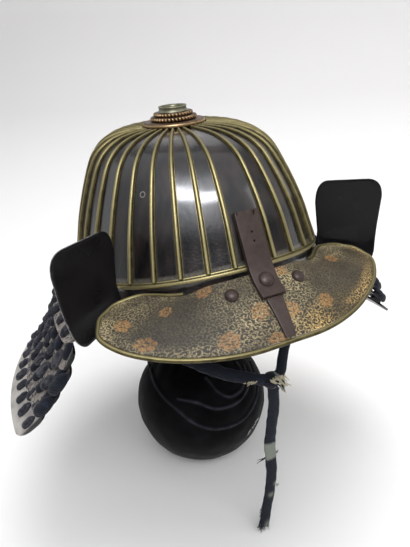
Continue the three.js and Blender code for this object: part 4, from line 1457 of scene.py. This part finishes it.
# Folds of the velvet, each through (azimuth, elevation) places on the ball in degrees,
# azimuth 0 below the brow. The second set hangs at the back, mirrored and narrower.
SWAGS = [
    [(-99, 42), (-66, 32), (-42, 20), (-27, 9), (-6, 2), (15, 3), (40, 14), (60, 34)],
    [(-45, 31), (-26, 28), (-11, 21), (10, 19.5), (30, 26), (42, 40)],
    [(-14, 47), (-5, 34), (4, 27), (19, 27), (31, 34), (36, 47)],
]
SWAG_SETS = [(0, 1), (168, -0.85)]  # (azimuth of the set's middle, stretch)
LINT = [(21, -20), (24, -15), (28, -15), (32, -11), (36, -12)]


def on_ball(azimuth, elevation):
    turn, lift = math.radians(azimuth), math.radians(elevation)
    return Vector((math.sin(turn) * math.cos(lift), -math.cos(turn) * math.cos(lift), math.sin(lift)))


def ball_tree(curves, samples=90):
    """A search tree of places in mm along smooth curves drawn on the ball."""
    places = []
    for points in curves:
        curve = smooth_curve([on_ball(*point) for point in points])
        places += [curve(k / samples).normalized() * BALL_RADIUS for k in range(samples + 1)]
    return search_tree(places)


def make_velvet_ball():
    """Velvet drawn over a ball: swags hang round it, and small tucks run up to the post."""
    rows, columns = 200, 320
    folds = ball_tree([
        [(offset + azimuth * stretch, elevation) for azimuth, elevation in swag]
        for offset, stretch in SWAG_SETS for swag in SWAGS
    ])
    lint_tree = ball_tree([LINT])
    loops, fold_sheen, lint = [], [], []
    low = math.asin(-BALL_CENTRE / BALL_RADIUS)
    for row in range(rows + 1):
        lift = lerp(low, BALL_TOP_LIFT, row / rows)
        loop = []
        for column in range(columns):
            turn = 2 * math.pi * column / columns
            level = math.cos(lift)
            way = Vector((math.cos(turn) * level, math.sin(turn) * level, math.sin(lift)))
            place = way * BALL_RADIUS
            gather = smoothstep(0.5, 1.4, lift)
            tuck = math.cos(turn * 17 + 2 * noise.noise(way * 3)) * 0.8 * gather
            away = folds.find(place)[2] * (1 + 0.25 * noise.noise(way * 6))
            ridge = 2.1 * math.exp(-(away / 1.7) ** 2) - 1.1 * math.exp(-(away / 7) ** 2)
            crumple = 0.7 * noise.noise(way * 5)
            settle = smoothstep(low, low + 0.3, lift)
            radius = BALL_RADIUS - 1.2 + (tuck + ridge + crumple) * settle
            loop.append((way * radius + Vector((0, 0, BALL_CENTRE))) * MM)
            # Painted sheen along the fold ridges, patchy along their length.
            fold_sheen.append(math.exp(-(away / 1.2) ** 2) * (0.55 + 0.5 * noise.noise(way * 9)))
            fluff = noise.noise(place * 0.7) > 0
            lint.append(smoothstep(1.7, 0.8, lint_tree.find(place)[2]) if fluff else 0.0)
        loops.append(loop)
    mesh = loft("velvet_ball", loops, crease=60)
    point_values(mesh, "fold_sheen", fold_sheen)
    point_values(mesh, "lint", lint)
    piece("velvet_ball", mesh, VELVET, ["stand_ball"])


def make_post():
    foot, waist = BALL_CENTRE + BALL_RADIUS * math.sin(BALL_TOP_LIFT), POST_RADIUS - 1
    profile = [
        (AXIS, foot - 1), (POST_RADIUS, foot - 1), (POST_RADIUS, foot + 6), (waist, foot + 8),
        (waist, PAD_BOTTOM - 6), (POST_RADIUS, PAD_BOTTOM - 4), (POST_RADIUS, PAD_BOTTOM),
        (AXIS, PAD_BOTTOM),
    ]
    mesh = turned("wooden_post", profile, Vector(), segments=48)
    piece("wooden_post", mesh, WOOD, ["stand_post"])


def make_pad():
    """The cushion that the helmet's crown rests on."""
    edge, dome_height = 3, PAD_TOP - PAD_BOTTOM - 3.4
    profile = [(AXIS, PAD_BOTTOM), (PAD_RADIUS - 4, PAD_BOTTOM)]
    for step in range(13):
        turn = math.pi / 2 * step / 12
        height = PAD_BOTTOM + edge + dome_height * math.sin(turn)
        profile.append((max(PAD_RADIUS * math.cos(turn), AXIS), height))
    mesh = turned("velvet_pad", profile, Vector(), segments=96)
    cushion = piece("velvet_pad", mesh, VELVET, ["stand_pad"])


# ---- stage ---------------------------------------------------------------

EDGE_RISE = 0.052  # height of the table's far edge above the view's middle, per metre ahead
SWEEP = 0.5
STAGE_HALF_WIDTH = 4
STAGE_NEAR = -3
WALL_HEIGHT = 3


def white_laminate():
    """Matt laminate: white where it is the table, and greyer up the wall, which is painted shade for
    the lesser light on the wall.
    """
    material, tree, place = new_finish("matt white laminate", Roughness=0.7)
    height = node(tree, "ShaderNodeSeparateXYZ", {0: place})
    # Painted shade: the colour greys from the table over the first 25 cm up the wall.
    wall = node(tree, "ShaderNodeMapRange", {0: height.outputs[2], 1: 0.0, 2: 0.25})
    colour = node(tree, "ShaderNodeMix", {0: wall, 6: "ebeae8", 7: "d6d4d3"}, data_type="RGBA")
    return surface(material, colour)


def make_stage():
    """A white table top that curves up into a wall, greyed by painted shade, along a line that looks
    level.
    """
    right, up, back = camera_axes()

    def on_floor(side):
        way = -back + right * side + up * EDGE_RISE
        return CAMERA_POSITION + way * (-CAMERA_POSITION.z / way.z)

    left_edge, right_edge = on_floor(-0.5), on_floor(0.5)
    along = (right_edge - left_edge).normalized()
    away = Vector((-along.y, along.x, 0))
    middle = (left_edge + right_edge) / 2
    vertices, faces = [], []
    profile = [(STAGE_NEAR, 0), (0, 0)]
    for step in range(1, 13):
        turn = math.pi / 2 * step / 12
        profile.append((SWEEP * math.sin(turn), SWEEP * (1 - math.cos(turn))))
    profile.append((SWEEP, WALL_HEIGHT))
    for reach, height in profile:
        for side in (-STAGE_HALF_WIDTH, STAGE_HALF_WIDTH):
            spot = middle + along * side + away * reach
            vertices.append((spot.x, spot.y, height))
    for row in range(len(profile) - 1):
        faces.append((row * 2, row * 2 + 1, row * 2 + 3, row * 2 + 2))
    mesh = bpy.data.meshes.new("table_and_wall")
    mesh.from_pydata(vertices, [], faces)
    mesh.shade_smooth()
    stage = bpy.data.objects.new("table_and_wall", mesh)
    bpy.context.scene.collection.objects.link(stage)
    mesh.materials.append(white_laminate())


def area_light(name, place, target, power, width, height, colour):
    data = bpy.data.lights.new(name, "AREA")
    data.energy = power
    data.shape = "RECTANGLE"
    data.size = width
    data.size_y = height
    data.color = linear(colour)[:3]
    light = bpy.data.objects.new(name, data)
    light.location = place
    light.rotation_euler = (Vector(target) - Vector(place)).to_track_quat("-Z", "Y").to_euler()
    bpy.context.scene.collection.objects.link(light)
    return light


def make_sky():
    """A room's light: bright overhead and behind the helmet, dark low down in front of it."""
    world = bpy.data.worlds.new("soft studio")
    bpy.context.scene.world = world
    world.use_nodes = True
    tree = world.node_tree
    direction = node(tree, "ShaderNodeTexCoord").outputs["Generated"]
    way = node(tree, "ShaderNodeSeparateXYZ", {0: direction})
    low = node(tree, "ShaderNodeMapRange", {
        0: way.outputs[2], 1: 0.75, 2: 0.1,
    }, interpolation_type="SMOOTHSTEP")
    front = node(tree, "ShaderNodeMapRange", {0: way.outputs[1], 1: 0.7, 2: 0.1})
    shade = node(tree, "ShaderNodeMath", {0: low, 1: front}, operation="MULTIPLY")
    colour = node(tree, "ShaderNodeMix", {0: shade, 6: "eef0f4", 7: "2a2c31"}, data_type="RGBA")
    set_inputs(tree, tree.nodes["Background"], {0: colour, 1: 1.1})


DAYLIGHT = "f6f8ff"
LAMPLIGHT = "ffffff"
WINDOW = (-0.48, -1.07, 1.36)
BROW = (0, -0.1, 0.3)
# Each light: its name, place and target, power in watts, width and height, colour, and
# the ray visibility that is off. The sheen and the panes show only in glossy surfaces.
LIGHTS = [
    ("window", WINDOW, BROW, 3.5, 0.5, 0.5, DAYLIGHT, None),
    ("window_sheen", WINDOW, BROW, 14, 0.26, 0.26, DAYLIGHT, "visible_diffuse"),
    ("window_pane", (-0.77, -0.95, 1.46), BROW, 5, 0.2, 0.18, DAYLIGHT, "visible_diffuse"),
    ("window_pane", (-0.21, -1.22, 1.46), BROW, 5, 0.2, 0.18, DAYLIGHT, "visible_diffuse"),
    ("ceiling_panel", (0.25, 0.15, 1.9), (0, 0.05, 0.1), 21, 1.3, 1.3, LAMPLIGHT, "visible_glossy"),
    ("front_fill", (0.05, -1.6, 1.1), (0, -0.2, 0), 14, 1.6, 0.9, LAMPLIGHT, "visible_glossy"),
    ("side_panel", (1.15, -1.0, 1.0), (0, -0.1, 0.2), 2.2, 0.4, 0.7, LAMPLIGHT, None),
]


def make_lights():
    for *settings, hidden_from in LIGHTS:
        light = area_light(*settings)
        if hidden_from:
            setattr(light, hidden_from, False)
    bpy.context.scene.view_settings.view_transform = "Standard"


make_camera()
make_chin_strap()
make_bowl()
make_ribs()
make_bands()
make_top_ornament()
make_visor()
make_visor_piping()
make_rivets()
make_crest_holder()
make_holder_tongue()
make_cheek_plate("cheek_leather_left", "cheek_plate_left", 1)
make_cheek_plate("cheek_leather_right", "cheek_plate_right", -1)
for number in range(1, LAMES + 1):
    make_lame(number)
make_lacing()
make_velvet_ball()
make_post()
make_pad()
make_stage()
make_sky()
make_lights()
